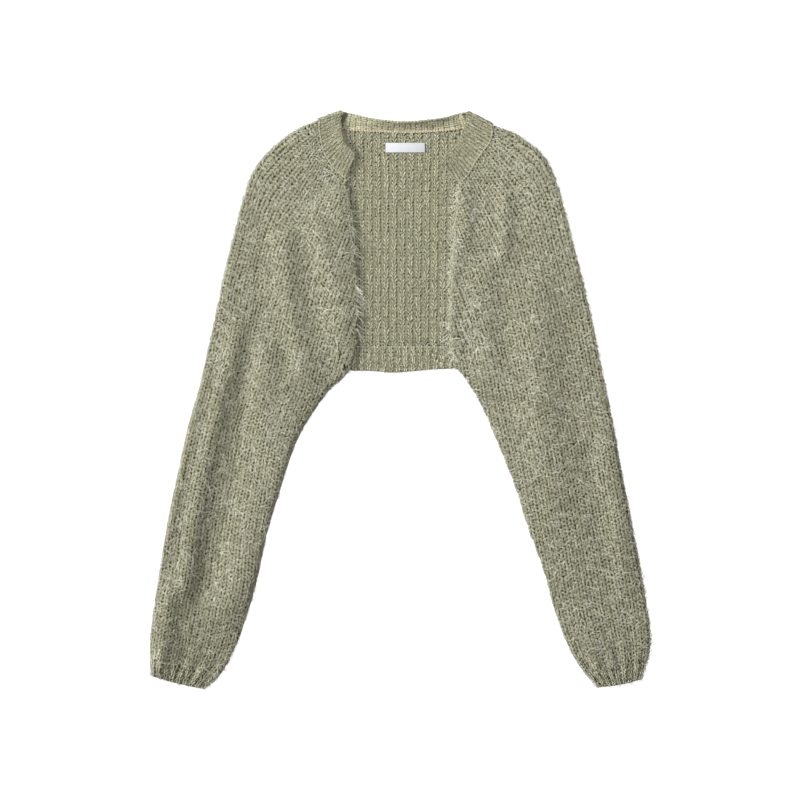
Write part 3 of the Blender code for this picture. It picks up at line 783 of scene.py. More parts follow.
def relaxed_courses(points: Array, wales: Array, course: float) -> Array:
    """Count courses that lie square to the wales, as evenly as the form lets them.

    Args:
        points: the patch's grid.
        wales: the count of wales on it.
        course: the height of a course in millimetres.

    Returns:
        The count of courses at each point of the grid.
    """
    na, nb = 19, 61         # nodes of the coarse grid that it is worked out on
    fine_a = np.linspace(0, points.shape[0] - 1, na)
    fine_b = np.linspace(0, points.shape[1] - 1, nb)
    grid_a, grid_b = np.meshgrid(fine_a, fine_b, indexing="ij")
    p = Patch.read(points, grid_a, grid_b)
    u = Patch.read(wales, grid_a, grid_b)

    def across(g: Array) -> Array:
        """Give the mean step across each cell."""
        return (g[1:, :-1] + g[1:, 1:] - g[:-1, :-1] - g[:-1, 1:]) / 2

    def along(g: Array) -> Array:
        """Give the mean step along each cell."""
        return (g[:-1, 1:] + g[1:, 1:] - g[:-1, :-1] - g[1:, :-1]) / 2

    pa, pb, ua, ub = across(p), along(p), across(u), along(u)
    wale_way = -ub[..., None] * pa + ua[..., None] * pb
    wale_size = np.linalg.norm(wale_way, axis=2)
    alpha = (pb * wale_way).sum(axis=2)
    beta = -(pa * wale_way).sum(axis=2)
    cross_size = np.linalg.norm(alpha[..., None] * pa + beta[..., None] * pb, axis=2)
    index = np.arange(na * nb).reshape(na, nb)
    corners = [index[:-1, :-1], index[:-1, 1:], index[1:, :-1], index[1:, 1:]]
    signs_a = (-0.5, -0.5, 0.5, 0.5)
    signs_b = (-0.5, 0.5, -0.5, 0.5)
    cells = (na - 1) * (nb - 1)
    matrix = np.zeros((2 * cells, na * nb))
    target = np.zeros(2 * cells)
    rows = np.arange(cells)
    for corner, sa, sb in zip(corners, signs_a, signs_b):
        matrix[rows, corner.ravel()] += ((-ub * sa + ua * sb) / wale_size).ravel()
        matrix[rows + cells, corner.ravel()] += (
            (alpha * sa + beta * sb) / cross_size).ravel()
    target[:cells] = 1.0 / course
    counts = np.linalg.lstsq(matrix, target, rcond=1e-9)[0].reshape(na, nb)
    counts -= counts.min()
    all_a, all_b = np.meshgrid(np.arange(points.shape[0]) / fine_a[1],
                               np.arange(points.shape[1]) / fine_b[1], indexing="ij")
    return Patch.read(counts, all_a, all_b)


# ----------------------------------------------------------------- flat tubes
def tube_shares(depth: float, angles: Array, widths: tuple[float, float],
                stops: tuple[float, ...], steps: tuple[int, ...]) -> tuple[Array, Array]:
    """Spread shares across one layer of a flat tube, and round its folded edges.

    Args:
        depth: how deep the points lie under the cloth's face.
        angles: degrees round the folded edges, negative below the middle.
        widths: the millimetres that a whole share takes at both edges.
        stops: shares between the edges that get a point of their own.
        steps: how many steps lead to each stop, and to the far edge.

    Returns:
        The shares, and each one's height from 0 at a fold to 1 on the flat.
    """
    turn = np.radians(angles)
    inset = max(depth, EDGE_INSET)
    near = inset + (FOLD_RADIUS - inset) * (1.0 - np.cos(turn))
    first = near / widths[0]
    last = 1.0 - near[::-1] / widths[1]
    ends = (first[-1], *stops, last[0])
    flat = np.concatenate([np.linspace(one, two, count + 1)[1:]
                           for one, two, count in zip(ends, ends[1:], steps)])[:-1]
    return (np.concatenate([first, flat, last]),
            np.concatenate([np.sin(turn), np.ones(len(flat)), np.sin(turn)[::-1]]))


def layer_heights(middle: float, depth: float, heights: Array, rise: Array | None) -> Array:
    """Turn heights of 0 to 1 into millimetres; without a rise, of the lower layer."""
    if rise is None:
        return middle - (middle - depth) * heights
    return middle + np.where(heights > 0, middle - depth + rise, middle - depth) * heights


def even_columns(lines: list[tuple[Array, Array]], columns: int) -> tuple[Array, Array]:
    """Read lines across the cloth at evenly spaced wales.

    Args:
        lines: for each row, its points and the count of wales at each.
        columns: how many points each row gets.

    Returns:
        The grid of points, and the count of wales on it.
    """
    points = np.empty((columns, len(lines), 3))
    wales = np.empty((columns, len(lines)))
    for j, (line, counts) in enumerate(lines):
        wales[:, j] = np.linspace(counts[0], counts[-1], columns)
        for k in range(3):
            points[:, j, k] = np.interp(wales[:, j], counts, line[:, k])
    return points, wales


def tube_ring(top: Array, low: Array) -> Array:
    """Join an upper and a lower layer's points into a ring."""
    low[0], low[-1] = top[0], top[-1]
    low[:, 2] = np.maximum(low[:, 2], LOWEST)
    return np.vstack([top, low[-2::-1]])


def tube_ground(name: str, rings: list[Array], uvs: list[Array], upper: int, rim: int,
                material: Material) -> Piece:
    """Make a flat tube's ground from its rings.

    Args:
        name: the tube's name.
        rings: points round the tube, one ring for each row.
        uvs: wales and courses at each point.
        upper: how many points of a ring belong to the upper layer.
        rim: how many points beyond it get the painted shade too, on both sides.
        material: its finish.

    Returns:
        The piece.
    """
    points = np.array(rings).transpose(1, 0, 2)
    outer = np.ones(points.shape[:2])
    # the upper layer and its rims take the ground's painted shade colours
    outer[:upper + rim] = 0.0
    outer[len(outer) - rim:] = 0.0
    return cloth_sheet(name + "_ground", points, np.array(uvs).transpose(1, 0, 2), outer,
                       material, True, UP, SHELL_WALL, -1.0)


# ------------------------------------------------------------------ stitches
@dataclass(frozen=True)
class Loop:
    """One strand of a stitch, as a half-round piece of yarn.

    Places across are in wales and along in courses; radii and heights are in
    millimetres.
    """

    start: tuple[float, float]
    end: tuple[float, float]
    half_width: float
    height: float
    low: float
    high: float
    bow: float = 0.0
    sideways: bool = False
    shade: float = 0.0


@dataclass(frozen=True)
class StitchForm:
    """The strands that make one stitch, and how unlike each other they are."""

    loops: tuple[Loop, ...]
    uneven: float = 1.0
    pinch: float = 0.38         # how much thinner a strand is at its ends
    fray: float = 0.13          # millimetres that its surface strays
    tone: float = 0.0           # how much paler than the rest; the darker tone of the lining rib and the chains is painted shade
    steps_across: int = 3
    steps_along: int = 5
    reach: float = 100.0        # degrees that a strand's arc spans to each side


@dataclass(frozen=True)
class Unevenness:
    """How far stitches and their strands differ, for a form as uneven as 1."""

    width: float = 0.09
    height: float = 0.12
    across: float = 0.03        # wales
    along: float = 0.06         # courses
    lift: float = 0.13          # millimetres
    tone: float = 0.13
    strand_across: float = 0.025
    strand_along: float = 0.05
    strand_tone: float = 0.12
    most_stretch: float = 1.4   # a strand's length at most, against the usual one


def legs(base: float, spread: float, bow: float, half_width: float, height: float,
         overlap: float = 0.0) -> tuple[Loop, ...]:
    """Make the two legs of a plain stitch, which meet on the cuff's side.

    Args:
        base: how far from the middle each leg starts, in wales.
        spread: how far from it each leg ends.
        bow: how far each leg bulges outwards between its ends.
        half_width: half a leg's width in millimetres.
        height: a leg's height in millimetres.
        overlap: how much further it reaches at both ends, in courses.

    Returns:
        The left and the right leg.
    """
    return tuple(Loop((side * base, -0.52 - overlap), (side * spread, 0.62 + overlap),
                      half_width, height, -0.3, 0.2, side * bow) for side in (-1, 1))


def plied(loops: tuple[Loop, ...], gap: float) -> tuple[Loop, ...]:
    """Split each strand into two plies that bow apart by a gap in wales."""
    return tuple(replace(loop, start=(loop.start[0] + gap * 0.4 * ply, loop.start[1]),
                         end=(loop.end[0] - gap * 0.4 * ply, loop.end[1]),
                         bow=loop.bow + gap * ply)
                 for loop in loops for ply in (-1, 1))


def purl_bump(half_span: float, half_width: float, height: float, low: float, shade: float
              ) -> tuple[Loop, ...]:
    """Make the short bar that shows between two ribs, at the wale's edge."""
    return (Loop((0.5 - half_span, -0.15), (0.5 + half_span, -0.15), half_width, height,
                 low, low + 0.2, 0.3, True, shade),)


STOCKINETTE = StitchForm(plied(legs(0.12, 0.34, 0.05, 1.12, 1.25), 0.08), 0.65, 0.28,
                         fray=0.15, tone=-0.38, steps_across=2, steps_along=4)
BACK_STITCH = StitchForm(legs(0.03, 0.25, 0.02, 0.84, 1.45), 1.2, 0.3, fray=0.17,
                         tone=0.15)
HEM_STITCH = StitchForm(legs(0.05, 0.2, 0.03, 0.95, 1.75, 0.03), 1.3, 0.25, fray=0.17,
                        tone=0.05)
BAND_STITCH = StitchForm(legs(0.1, 0.2, 0.02, 0.66, 0.95, 0.12), 1.2, 0.2, tone=-0.3)
# LINING_RIB's tone of -0.25 darkens the band's lining as painted shade
LINING_RIB = StitchForm(legs(0.13, 0.24, 0.03, 1.75, 0.3, 0.1), 1.0, 0.2, tone=-0.25)
CUFF_STITCH = StitchForm(legs(0.07, 0.22, 0.03, 0.95, 1.6, 0.03), 1.2, 0.3, tone=0.03)
LINING_STITCH = StitchForm(purl_bump(0.3, 1.6, 0.6, -0.3, -0.05), 1.2)
# CHAIN's tone of -0.22 darkens the chains along edges, rims and seams as painted shade
CHAIN = StitchForm(legs(0.05, 0.26, 0.1, 0.8, 1.0), 0.9, tone=-0.22)


def bend(loop: Loop, form: StitchForm, wale: float, course: float
         ) -> tuple[Array, Array, Array]:
    """Bend a flat swatch into a strand.

    Args:
        loop: the strand.
        form: the stitch that it belongs to.
        wale: a wale's width in millimetres.
        course: a course's height in millimetres.

    Returns:
        The strand's vertices as wales, courses and lift, then faces and UVs.
    """
    shares, faces, uvs = swatch(form.steps_across, form.steps_along)
    angle = np.radians((shares[:, 0] * 2 - 1) * form.reach)
    along = shares[:, 1]
    hump = np.sin(math.pi * along)
    taper = 1.0 - form.pinch * (1.0 - hump)
    wales = loop.start[0] + (loop.end[0] - loop.start[0]) * along
    courses = loop.start[1] + (loop.end[1] - loop.start[1]) * along
    if loop.sideways:
        courses = courses + loop.bow * hump
        courses = courses - loop.half_width * taper * np.sin(angle) / course
    else:
        wales = wales + loop.bow * hump
        wales = wales + loop.half_width * taper * np.sin(angle) / wale
    lift = loop.low + (loop.high - loop.low) * hump + loop.height * taper * np.cos(angle)
    return np.column_stack([wales, courses, lift]), faces, uvs


@dataclass
class KnitWork:
    """Stitches knitted over a patch."""

    rng: np.random.Generator
    uneven: Unevenness = Unevenness()

    def knit(self, name: str, patch: Patch, form: StitchForm, size: tuple[float, float],
             material: Material, keep: Array | None = None) -> Piece:
        """Knit a piece.

        Args:
            name: the piece's name.
            patch: the cloth that it follows.
            form: its stitch.
            size: a stitch's width and height in millimetres.
            material: the yarn.
            keep: where on the patch to knit, above a half.

        Returns:
            The piece.
        """
        a, b = patch.places()
        if keep is not None:
            shown = Patch.read(keep, a, b) > 0.5
            a, b = a[shown], b[shown]
        step = patch.steps(a, b)
        count = len(a)
        most = self.uneven

        def vary(amount: float) -> Array:
            """Draw one small difference for each stitch."""
            return amount * form.uneven * self.rng.normal(size=(count, 1))

        wide, tall = 1.0 + vary(most.width), 1.0 + vary(most.height)
        across, along, up = vary(most.across), vary(most.along), vary(most.lift)
        tone = 0.5 + form.tone + vary(most.tone)
        points, tones, painted_shade_heights = [], [], []
        for loop in form.loops:
            strand, faces, uvs = bend(loop, form, *size)
            sway = np.tanh(strand[None, :, 1] * 2.0)
            du = (strand[None, :, 0] * wide + across + vary(most.strand_across)
                  + vary(most.strand_across) * sway)
            dv = strand[None, :, 1] + along + vary(most.strand_along)
            lift = strand[None, :, 2] * tall + up
            at_a = a[:, None] + step[0, 0][:, None] * du + step[0, 1][:, None] * dv
            at_b = b[:, None] + step[1, 0][:, None] * du + step[1, 1][:, None] * dv
            base = Patch.read(patch.points, at_a, at_b)
            normal = Patch.read(patch.normals, at_a, at_b)
            places = base + normal * lift[..., None]
            places += form.fray * self.rng.normal(size=places.shape)
            middle = places.mean(axis=1, keepdims=True)
            reach = np.linalg.norm(places - middle, axis=2).max(axis=1)
            held = np.minimum(1.0, most.most_stretch * np.median(reach) / reach)
            places = middle + (places - middle) * held[:, None, None]
            places[..., 2] = np.maximum(places[..., 2], LOWEST)
            points.append(places)
            shade = np.clip(tone + vary(most.strand_tone) + loop.shade, 0.0, 1.0)
            tones.append(np.broadcast_to(shade, lift.shape))
            # each strand's height from its foot, which the yarn turns into painted shade
            depth = (strand[None, :, 2] - strand[:, 2].min()) / np.ptp(strand[:, 2])
            painted_shade_heights.append(np.broadcast_to(depth, lift.shape))
        LOG.info("%s: %d stitches", name, count)
        return joined(name, np.concatenate(points), faces, uvs,
                      {"tone": np.concatenate(tones), "depth": np.concatenate(painted_shade_heights)},
                      material)

    def chain(self, name: str, line: Array, side: Array, width: float, course: float,
              material: Material) -> Piece:
        """Work a chain of stitches along a line, as at a seam or a free edge.

        Args:
            name: the piece's name.
            line: the line's points.
            side: the unit vector across the chain at each point.
            width: the chain's width in millimetres.
            course: the length of a stitch in millimetres.
            material: the yarn.

        Returns:
            The piece.
        """
        across = np.linspace(-0.5, 0.5, 5)
        points = line[None] + side[None] * (across * width)[:, None, None]
        patch = Patch(points, (across + 0.5)[:, None], run_length(line) / course)
        patch.face_up()
        return self.knit(name, patch, CHAIN, (width, course), material)


# --------------------------------------------------------------------- hairs
@dataclass(frozen=True)
class HairCut:
    """How one kind of hair grows, in millimetres and degrees."""

    shortest: float
    longest: float
    radius: float
    lift: float             # of the middle, as a part of the length
    curl: float             # of the tip to one side, as a part of the length
    heading: float          # the way that most hairs lie
    scatter: float          # how far they stray from it
    steps: int = 1
    sides: int = 3
    shortness: float = 1.8  # over 1, most hairs are nearer to the shortest
    taper: float = 0.6      # how much thinner the tip is than the root
    sink: float = 0.55      # how far the tip comes down again from the bow
    thinnest: float = 0.75  # of the usual radius
    thickness_span: float = 0.5


FUZZ = HairCut(2.8, 8.0, 0.3, 0.25, 0.4, -60.0, 100.0)
RIB_FUZZ = HairCut(2.8, 7.5, 0.28, 0.25, 0.4, -75.0, 80.0)
HALO = HairCut(4.0, 12.0, 0.32, 0.18, 0.7, -60.0, 95.0, 2)
LONG_HAIR = HairCut(9.0, 19.0, 0.32, 0.12, 0.5, -50.0, 55.0, 5)


@dataclass(frozen=True)
class Fringe:
    """The loose hairs along one free front edge."""

    cut: HairCut
    count: int
    bunches: int
    halo_inset: float       # how far inside the edge its shorter hairs start
    halo_spread: float


LEFT_FRINGE = Fringe(HairCut(10.0, 26.0, 0.25, 0.1, 0.3, -46.0, 12.0, 5), 52, 11, 26.0, 8.0)
RIGHT_FRINGE = Fringe(HairCut(6.0, 15.0, 0.4, 0.14, 0.9, 240.0, 75.0, 6), 120, 50, 3.0, 3.0)


@dataclass
class HairWork:
    """Loose hairs grown from patches or along edges."""

    rng: np.random.Generator
    bunch_width: float = 3.5
    most_draws: float = 2.0     # standard deviations that a hair strays at most

    def roots_on(self, patch: Patch, count: int, level: float) -> tuple[Array, Array]:
        """Scatter roots evenly over a patch.

        Args:
            patch: the cloth.
            count: how many roots.
            level: their height over the patch.

        Returns:
            Root points and the cloth's normals there.
        """
        cells = np.cross(np.diff(patch.points, axis=0)[:, :-1],
                         np.diff(patch.points, axis=1)[:-1])
        area = np.linalg.norm(cells, axis=2).ravel()
        pick = self.rng.choice(len(area), size=count, p=area / area.sum())
        i, j = np.unravel_index(pick, cells.shape[:2])
        a = i + self.rng.random(count)
        b = j + self.rng.random(count)
        normal = Patch.read(patch.normals, a, b)
        return Patch.read(patch.points, a, b) + normal * level, normal

    def roots_along(self, line: Array, count: int, spread: float, bunches: int
                    ) -> tuple[Array, Array]:
        """Scatter roots along a line of points in bunches, within a spread of it."""
        run = run_length(line)
        bunch = self.rng.random(bunches)[self.rng.integers(bunches, size=count)] * run[-1]
        at = np.clip(bunch + self.bunch_width * self.rng.normal(size=count), 0.0, run[-1])
        roots = np.column_stack([np.interp(at, run, line[:, k]) for k in range(3)])
        roots[:, :2] += self.rng.normal(size=(count, 2)) * spread
        return roots, np.tile(UP, (count, 1))

    def grow(self, name: str, roots: Array, normals: Array, cut: HairCut, material: Material
             ) -> Piece:
        """Grow hairs from roots.

        Args:
            name: the piece's name.
            roots: where each hair starts.
            normals: the cloth's normal there.
            cut: the kind of hair.
            material: its finish.

        Returns:
            The piece.
        """
        count = len(roots)
        rng, most = self.rng, self.most_draws
        turn = np.radians(cut.heading + cut.scatter * rng.normal(size=count))
        way = np.column_stack([np.cos(turn), np.sin(turn), np.zeros(count)])
        way -= normals * (way * normals).sum(axis=1)[:, None]
        way /= np.maximum(np.linalg.norm(way, axis=1), 1e-6)[:, None]
        side = np.cross(normals, way)
        length = (cut.shortest
                  + (cut.longest - cut.shortest) * rng.random(count) ** cut.shortness)
        lift = cut.lift * np.clip(rng.normal(size=count), -most, most)
        curl = cut.curl * np.clip(rng.normal(size=count), -most, most)
        shares, faces, uvs = swatch(cut.sides, cut.steps, cut.steps == 1)
        angle = shares[None, :, 0] * 2 * math.pi
        along = shares[None, :, 1]
        reach = along[..., None] * length[:, None, None]
        bow = ((along * (1 - cut.sink * along))[..., None]
               * (length * np.abs(lift))[:, None, None])
        sway = (along**2)[..., None] * (length * curl)[:, None, None]
        path = (roots[:, None] + way[:, None] * reach + normals[:, None] * bow
                + side[:, None] * sway)
        thick = (cut.radius * (1.0 - cut.taper * along)
                 * (cut.thinnest + cut.thickness_span * rng.random(count))[:, None])
        if cut.steps == 1:
            thick = thick * (along < 0.5)
        points = path + thick[..., None] * (np.cos(angle)[..., None] * side[:, None]
                                            + np.sin(angle)[..., None] * normals[:, None])
        points[..., 2] = np.maximum(points[..., 2], LOWEST)
        LOG.info("%s: %d hairs", name, count)
        return joined(name, points, faces, uvs, {}, material)

    def coat(self, name: str, patch: Patch, count: int, level: float, cut: HairCut,
             material: Material) -> Piece:
        """Grow hairs all over a patch."""
        return self.grow(name, *self.roots_on(patch, count, level), cut, material)


# -------------------------------------------------------------- edge outlines
def band_turn(fold: BandRow, toward: BandRow) -> list[BandRow]:
    """List the rows of the neckband's turn over a shoulder, front to back."""
    rim = np.array(fold.rim[:2])
    seam = np.array(fold.seam[:2])
    along = (seam - rim) / np.linalg.norm(seam - rim)
    inward = np.array([along[1], -along[0]])
    inward = inward * np.sign(inward @ (np.array(toward.rim[:2]) - rim))
    rows = []
    for angle in np.radians(TURN_ANGLES):
        shift = inward * (RIB_WALL / 2 + BAND_TURN * (1.0 - math.cos(angle)))
        height = BAND_TURN * math.sin(angle)
        rows.append(BandRow((*(rim + shift), fold.rim[2] + height),
                            (*(seam + shift), fold.seam[2] + height)))
    return rows


class BandLines:
    """The neckband's rim and seam as fine lines, from front end to front end."""

    def __init__(self, steps_per_rib: int) -> None:
        """Work out both lines from the rows and their turns."""
        left = band_turn(BAND_LEFT_FOLD, BAND_LEFT_FRONT[-1])
        right = band_turn(BAND_RIGHT_FOLD, BAND_RIGHT_FRONT[0])
        self.left_fold = left[2]
        self.right_fold = right[2]
        rows = BAND_LEFT_FRONT + left + BAND_BACK + right[::-1] + BAND_RIGHT_FRONT
        rims = np.array([row.rim for row in rows])
        seams = np.array([row.seam for row in rows])
        knots = run_length((rims + seams) / 2)
        places = np.linspace(0.0, knots[-1], NECK_RIBS * steps_per_rib)
        self.rim = spline(rims, places, knots)
        self.seam = spline(seams, places, knots)

    def nearest(self, row: BandRow) -> int:
        """Find the seam's point that is nearest to a row's."""
        return int(np.linalg.norm(self.seam - row.seam, axis=1).argmin())

    def stretch(self, first: BandRow, last: BandRow) -> Array:
        """List the seam's points in plan from one row to another."""
        one, two = self.nearest(first), self.nearest(last)
        step = 1 if two > one else -1
        return self.seam[np.arange(one, two + step, step), :2]


class OpenEnd:
    """One layer's end of a sleeve: an edge, a corner and the neckband's seam."""

    def __init__(self, edge: list[EndPoint], corner: float, seam: Array) -> None:
        """Take the edge's rows and the seam's points from the corner on."""
        self.corner = corner
        self.edge_shares = np.array([row.share for row in edge] + [corner])
        self.edge = np.array([(row.x, row.y) for row in edge] + [tuple(seam[0])])
        runs = run_length(seam)
        self.seam_shares = corner + (1.0 - corner) * runs / runs[-1]
        self.seam = seam

    def read(self, shares: Array) -> Array:
        """Read the end's points at shares of the sleeve's wales."""
        points = np.empty((len(shares), 2))
        low = shares < self.corner
        points[low] = spline(self.edge, shares[low], self.edge_shares)
        points[~low] = spline(self.seam, shares[~low], self.seam_shares)
        return points

    def speeds(self) -> tuple[float, float]:
        """Measure the millimetres that a whole share would take at each end."""
        small = 0.01
        p = self.read(np.array([0.0, small, 1.0 - small, 1.0]))
        return math.dist(p[0], p[1]) / small, math.dist(p[2], p[3]) / small


# -------------------------------------------------------------------- pieces
class Hang(Enum):
    """The ways in which cloth can be held."""

    LAID = "laid"


class Finishes:
    """The materials of the whole shrug."""

    def __init__(self) -> None:
        """Make each of them once."""
        self.yarn = BrushedYarn().material()
        # each ground's dot and between-wale colours are painted shade
        self.ground = KnitGround().material()
        self.rib_ground = KnitGround("rib_ground_wool_blend", "#605e4a", "#716f59").material()
        self.purl_ground = KnitGround("purl_ground_wool_blend", "#3e3c2a", "#9b997f",
                                      hole_wales=0.11, hole_courses=0.36, hole_at=0.24,
                                      hole_shift=0.2).material()
        self.hair = LooseHair("loose_pale_hair", "#c4c3ae", "#eae9da").material()
        self.fuzz = LooseHair("short_brushed_fuzz", "#9e9d83", "#c1c0a7").material()
        self.link = BrushedYarn("linking_yarn", "#94876c", "#b8ab90", "#cfc4ac").material()
        self.tape = WovenTape().material()


class Workshop:
    """The finishes, the knitting and the hairs that every piece of cloth needs."""

    def __init__(self, rng: np.random.Generator) -> None:
        """Make the finishes, and share one source of differences."""
        self.finishes = Finishes()
        self.knit = KnitWork(rng)
        self.hairs = HairWork(rng)


def dress(piece: Piece, node: str | None = None) -> None:
    """Tie a piece to the body, and hide the solid that it stands for."""
    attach(piece, BODY)
    if node:
        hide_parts(node)


def sew(shell: Piece, node: str, pieces: list[Piece]) -> None:
    """Args:
        shell: the cloth itself.
        node: the solid that it stands for.
        pieces: its stitches and hairs.
    """
    dress(shell, node)
    for piece in pieces:
        dress(piece)
    LOG.info("%s is dressed", node)


@dataclass
class Sleeve:
    """One sleeve with its front, a tube that lies flat on the surface."""

    name: str
    node: str
    sections: list[Section]
    folds: list[Fold]
    front: OpenEnd
    back: OpenEnd
    fringe: Fringe
    cut: tuple[float, float]
    area: float
    rows: int = 230
    columns: int = 150
    shell_rows: int = 92
    wrap_angles: tuple[float, ...] = (-60.0, -45.0, -30.0, -15.0)
    stitch_steps: tuple[int, int] = (40, 46)    # across, up to the corner and beyond
    top_steps: tuple[int, int] = (13, 16)
    low_steps: tuple[int, int] = (11, 9)
    edge_width: float = 3.2         # of the chain along the free front edge
    edge_inset: float = 1.6
    edge_lean: float = -0.45        # how far the chain's outer side tips down
    edge_drop: float = 1.9
    seam_width: float = 3.4         # of the chain beside the back panel
    seam_depth: float = 0.7
    lining_depth: float = 0.9
    fringe_inset: float = 0.5
    fringe_lift: float = 1.2
    fringe_spread: float = 1.6
    fuzz: tuple[int, float] = (22000, 1.05)     # how many, and their roots' height
    halo: tuple[int, float] = (3600, 1.3)
    long_hairs: tuple[int, float] = (170, 1.5)
    edge_halo: tuple[int, int] = (200, 90)      # how many, in how many bunches

    @property
    def middle(self) -> float:
        """Give the height at which the two layers meet."""
        return WALL + LAYER_GAP / 2

    def along(self, place: float, values: list[float]) -> float:
        """Read a value for each section and the open end at a place."""
        return float(np.interp(place, range(len(values)), values))

    def plan(self, end: OpenEnd, place: float, shares: Array) -> Array:
        """Place shares of one layer in plan at a place along the sections."""
        rows = []
        for row in self.sections:
            under, over = np.array(row.under), np.array(row.over)
            rows.append(under + shares[:, None] * (over - under))
        rows.append(end.read(shares))
        return spline(rows, [place])[0]

    def layer(self, end: OpenEnd, place: float, run: float, depth: float, angles: Array,
              steps: tuple[int, int], upper: bool) -> tuple[Array, Array]:
        """Work out one layer's points across the sleeve, from its outer edge on.

        Args:
            end: the layer's open end.
            place: the place along the sections.
            run: millimetres from the cuff's end of the sleeve.
            depth: how deep the points lie under the cloth's face.
            angles: degrees round the folded edges, negative below the middle.
            steps: steps between the edges, up to the corner and beyond.
            upper: whether it is the upper layer.

        Returns:
            The points, and the wales counted from the outer fold to each.
        """
        widths = [math.dist(row.under, row.over) for row in self.sections]
        speeds = tuple(self.along(place, widths + [speed]) for speed in end.speeds())
        shares, heights = tube_shares(depth, angles, speeds, (end.corner,), steps)
        plan = self.plan(end, place, shares)
        rise = self.rise(place, run, shares, plan) if upper else None
        z = layer_heights(self.middle, depth, heights, rise)
        line = np.column_stack([plan, z])[::-1]
        bends = len(angles)
        wales = np.abs(np.diff(shares[::-1]))
        lengths = np.linalg.norm(np.diff(line, axis=0), axis=1)
        wales[:bends - 1] = lengths[:bends - 1] / speeds[1]
        wales[1 - bends:] = lengths[1 - bends:] / speeds[0]
        wales = counted(wales) * self.wale_count(place)
        crowd = self.along(place, [row.crowd for row in self.sections] + [END_CROWD])
        lean = np.sin(math.pi * np.clip(shares[::-1], 0.0, 1.0)) * crowd
        return line, wales - wales[int((angles < 0).sum())] + lean

    def rise(self, place: float, run: float, shares: Array, plan: Array) -> Array:
        """Work out how far the upper layer lifts off the lower one."""
        gathers = gather_rise(shares) * ease(1.0 - run / GATHER_LENGTH)
        fullness = np.sin(math.pi * np.clip(shares, 0.0, 1.0)) ** SWELL_POWER
        swell = self.along(place, [row.swell for row in self.sections] + [END_SWELL])
        return soft_floor(swell * fullness + gathers + fold_rise(self.folds, plan))

    def stations(self, count: int) -> tuple[Array, Array]:
        """Give evenly spaced places along the sleeve and their runs."""
        outline = [row.over for row in self.sections] + [tuple(self.front.seam[-1])]
        places = even_places(np.array(outline), count)
        return places, run_length(spline(outline, places))

    def wale_count(self, place: float) -> float:
        """Give the number of wales across one layer at a place."""
        counts = [row.wales for row in self.sections] + [END_WALES]
        return float(spline(np.array(counts)[:, None], [place])[0, 0])

    def top_patch(self) -> Patch:
        """Lay out the upper layer, from the outer edge to the underarm edge."""
        angles = np.concatenate([self.wrap_angles, np.linspace(0, 90, 8)])
        points, wales = even_columns(
            [self.layer(self.front, place, run, YARN_DEPTH, angles, self.stitch_steps, True)
             for place, run in zip(*self.stations(self.rows))], self.columns)
        left = points[0, 0, 0] < points[-1, 0, 0]
        return Patch(points, wales, relaxed_courses(points, wales, COURSE), left)

    def shell(self, patch: Patch, material: Material) -> Piece:
        """Make the sleeve's ground as one flat tube under its stitches."""
        angles = np.linspace(0, 90, 5)
        rings, uvs = [], []
        for k, (place, run) in enumerate(zip(*self.stations(self.shell_rows))):
            top, top_wales = self.layer(self.front, place, run, GROUND_DEPTH, angles,
                                        self.top_steps, True)
            low, low_wales = self.layer(self.back, place, run, 0.0, angles,
                                        self.low_steps, False)
            rings.append(tube_ring(top, low))
            row = k / (self.shell_rows - 1) * (self.rows - 1)
            column = np.interp(top_wales, patch.wales[:, round(row)],
                               np.arange(self.columns))
            courses = Patch.read(patch.courses, column, np.full(len(column), row))
            wales = np.concatenate([top_wales, 2 * top_wales[-1] - low_wales[-2::-1]])
            courses = np.concatenate([courses, np.full(len(low) - 1, run / COURSE)])
            uvs.append(np.column_stack([wales, courses]))
        return tube_ground(self.name, rings, uvs, len(top), 4, material)

    def build(self, shop: Workshop) -> None:
        """Build and dress the whole sleeve."""
        yarn = shop.finishes.yarn
        patch = self.top_patch()
        shell = self.shell(patch, shop.finishes.ground)
        stitches = shop.knit.knit(self.name + "_stitches", patch, STOCKINETTE,
                                  (WALE, COURSE), yarn)
        line, out = self.edge_line(160, self.edge_inset)
        edge = shop.knit.chain(self.name + "_front_edge", line, out, self.edge_width,
                               COURSE, yarn)
        pieces = [stitches, edge, self.side_seam(shop), self.neck_lining(shop),
                  *self.coat(patch, shop)]
        sew(shell, self.node, pieces)

    def edge_line(self, count: int, inset: float) -> tuple[Array, Array]:
        """Give the free front edge as points, and the way out of the cloth there."""
        shares = np.linspace(0.004, FRONT_CORNER_SHARE - 0.006, count)
        plan = self.front.read(shares)
        last = len(self.sections)
        rise = self.rise(last, 2 * GATHER_LENGTH, shares, plan)
        along = unit(np.gradient(plan, axis=0))
        inner = self.plan(self.front, last - 0.2, shares) - plan
        out = np.column_stack([along[:, 1], -along[:, 0]])
        out *= -np.sign((out * inner).sum(axis=1))[:, None]
        line = np.column_stack([plan - out * inset, 2 * self.middle + rise - self.edge_drop])
        return line, np.column_stack([out, np.full(count, self.edge_lean)])

    def side_seam(self, shop: Workshop) -> Piece:
        """Work the linking chain where the lower layer meets the back panel."""
        plan = self.back.read(np.linspace(0.06, BACK_CORNER_SHARE, 90))
        line = np.column_stack([plan, np.full(len(plan), WALL - self.seam_depth)])
        side = np.tile([1.0, 0.0, 0.0], (len(plan), 1))
        return shop.knit.chain(self.name + "_back_seam", line, side, self.seam_width,
                               COURSE, shop.finishes.yarn)

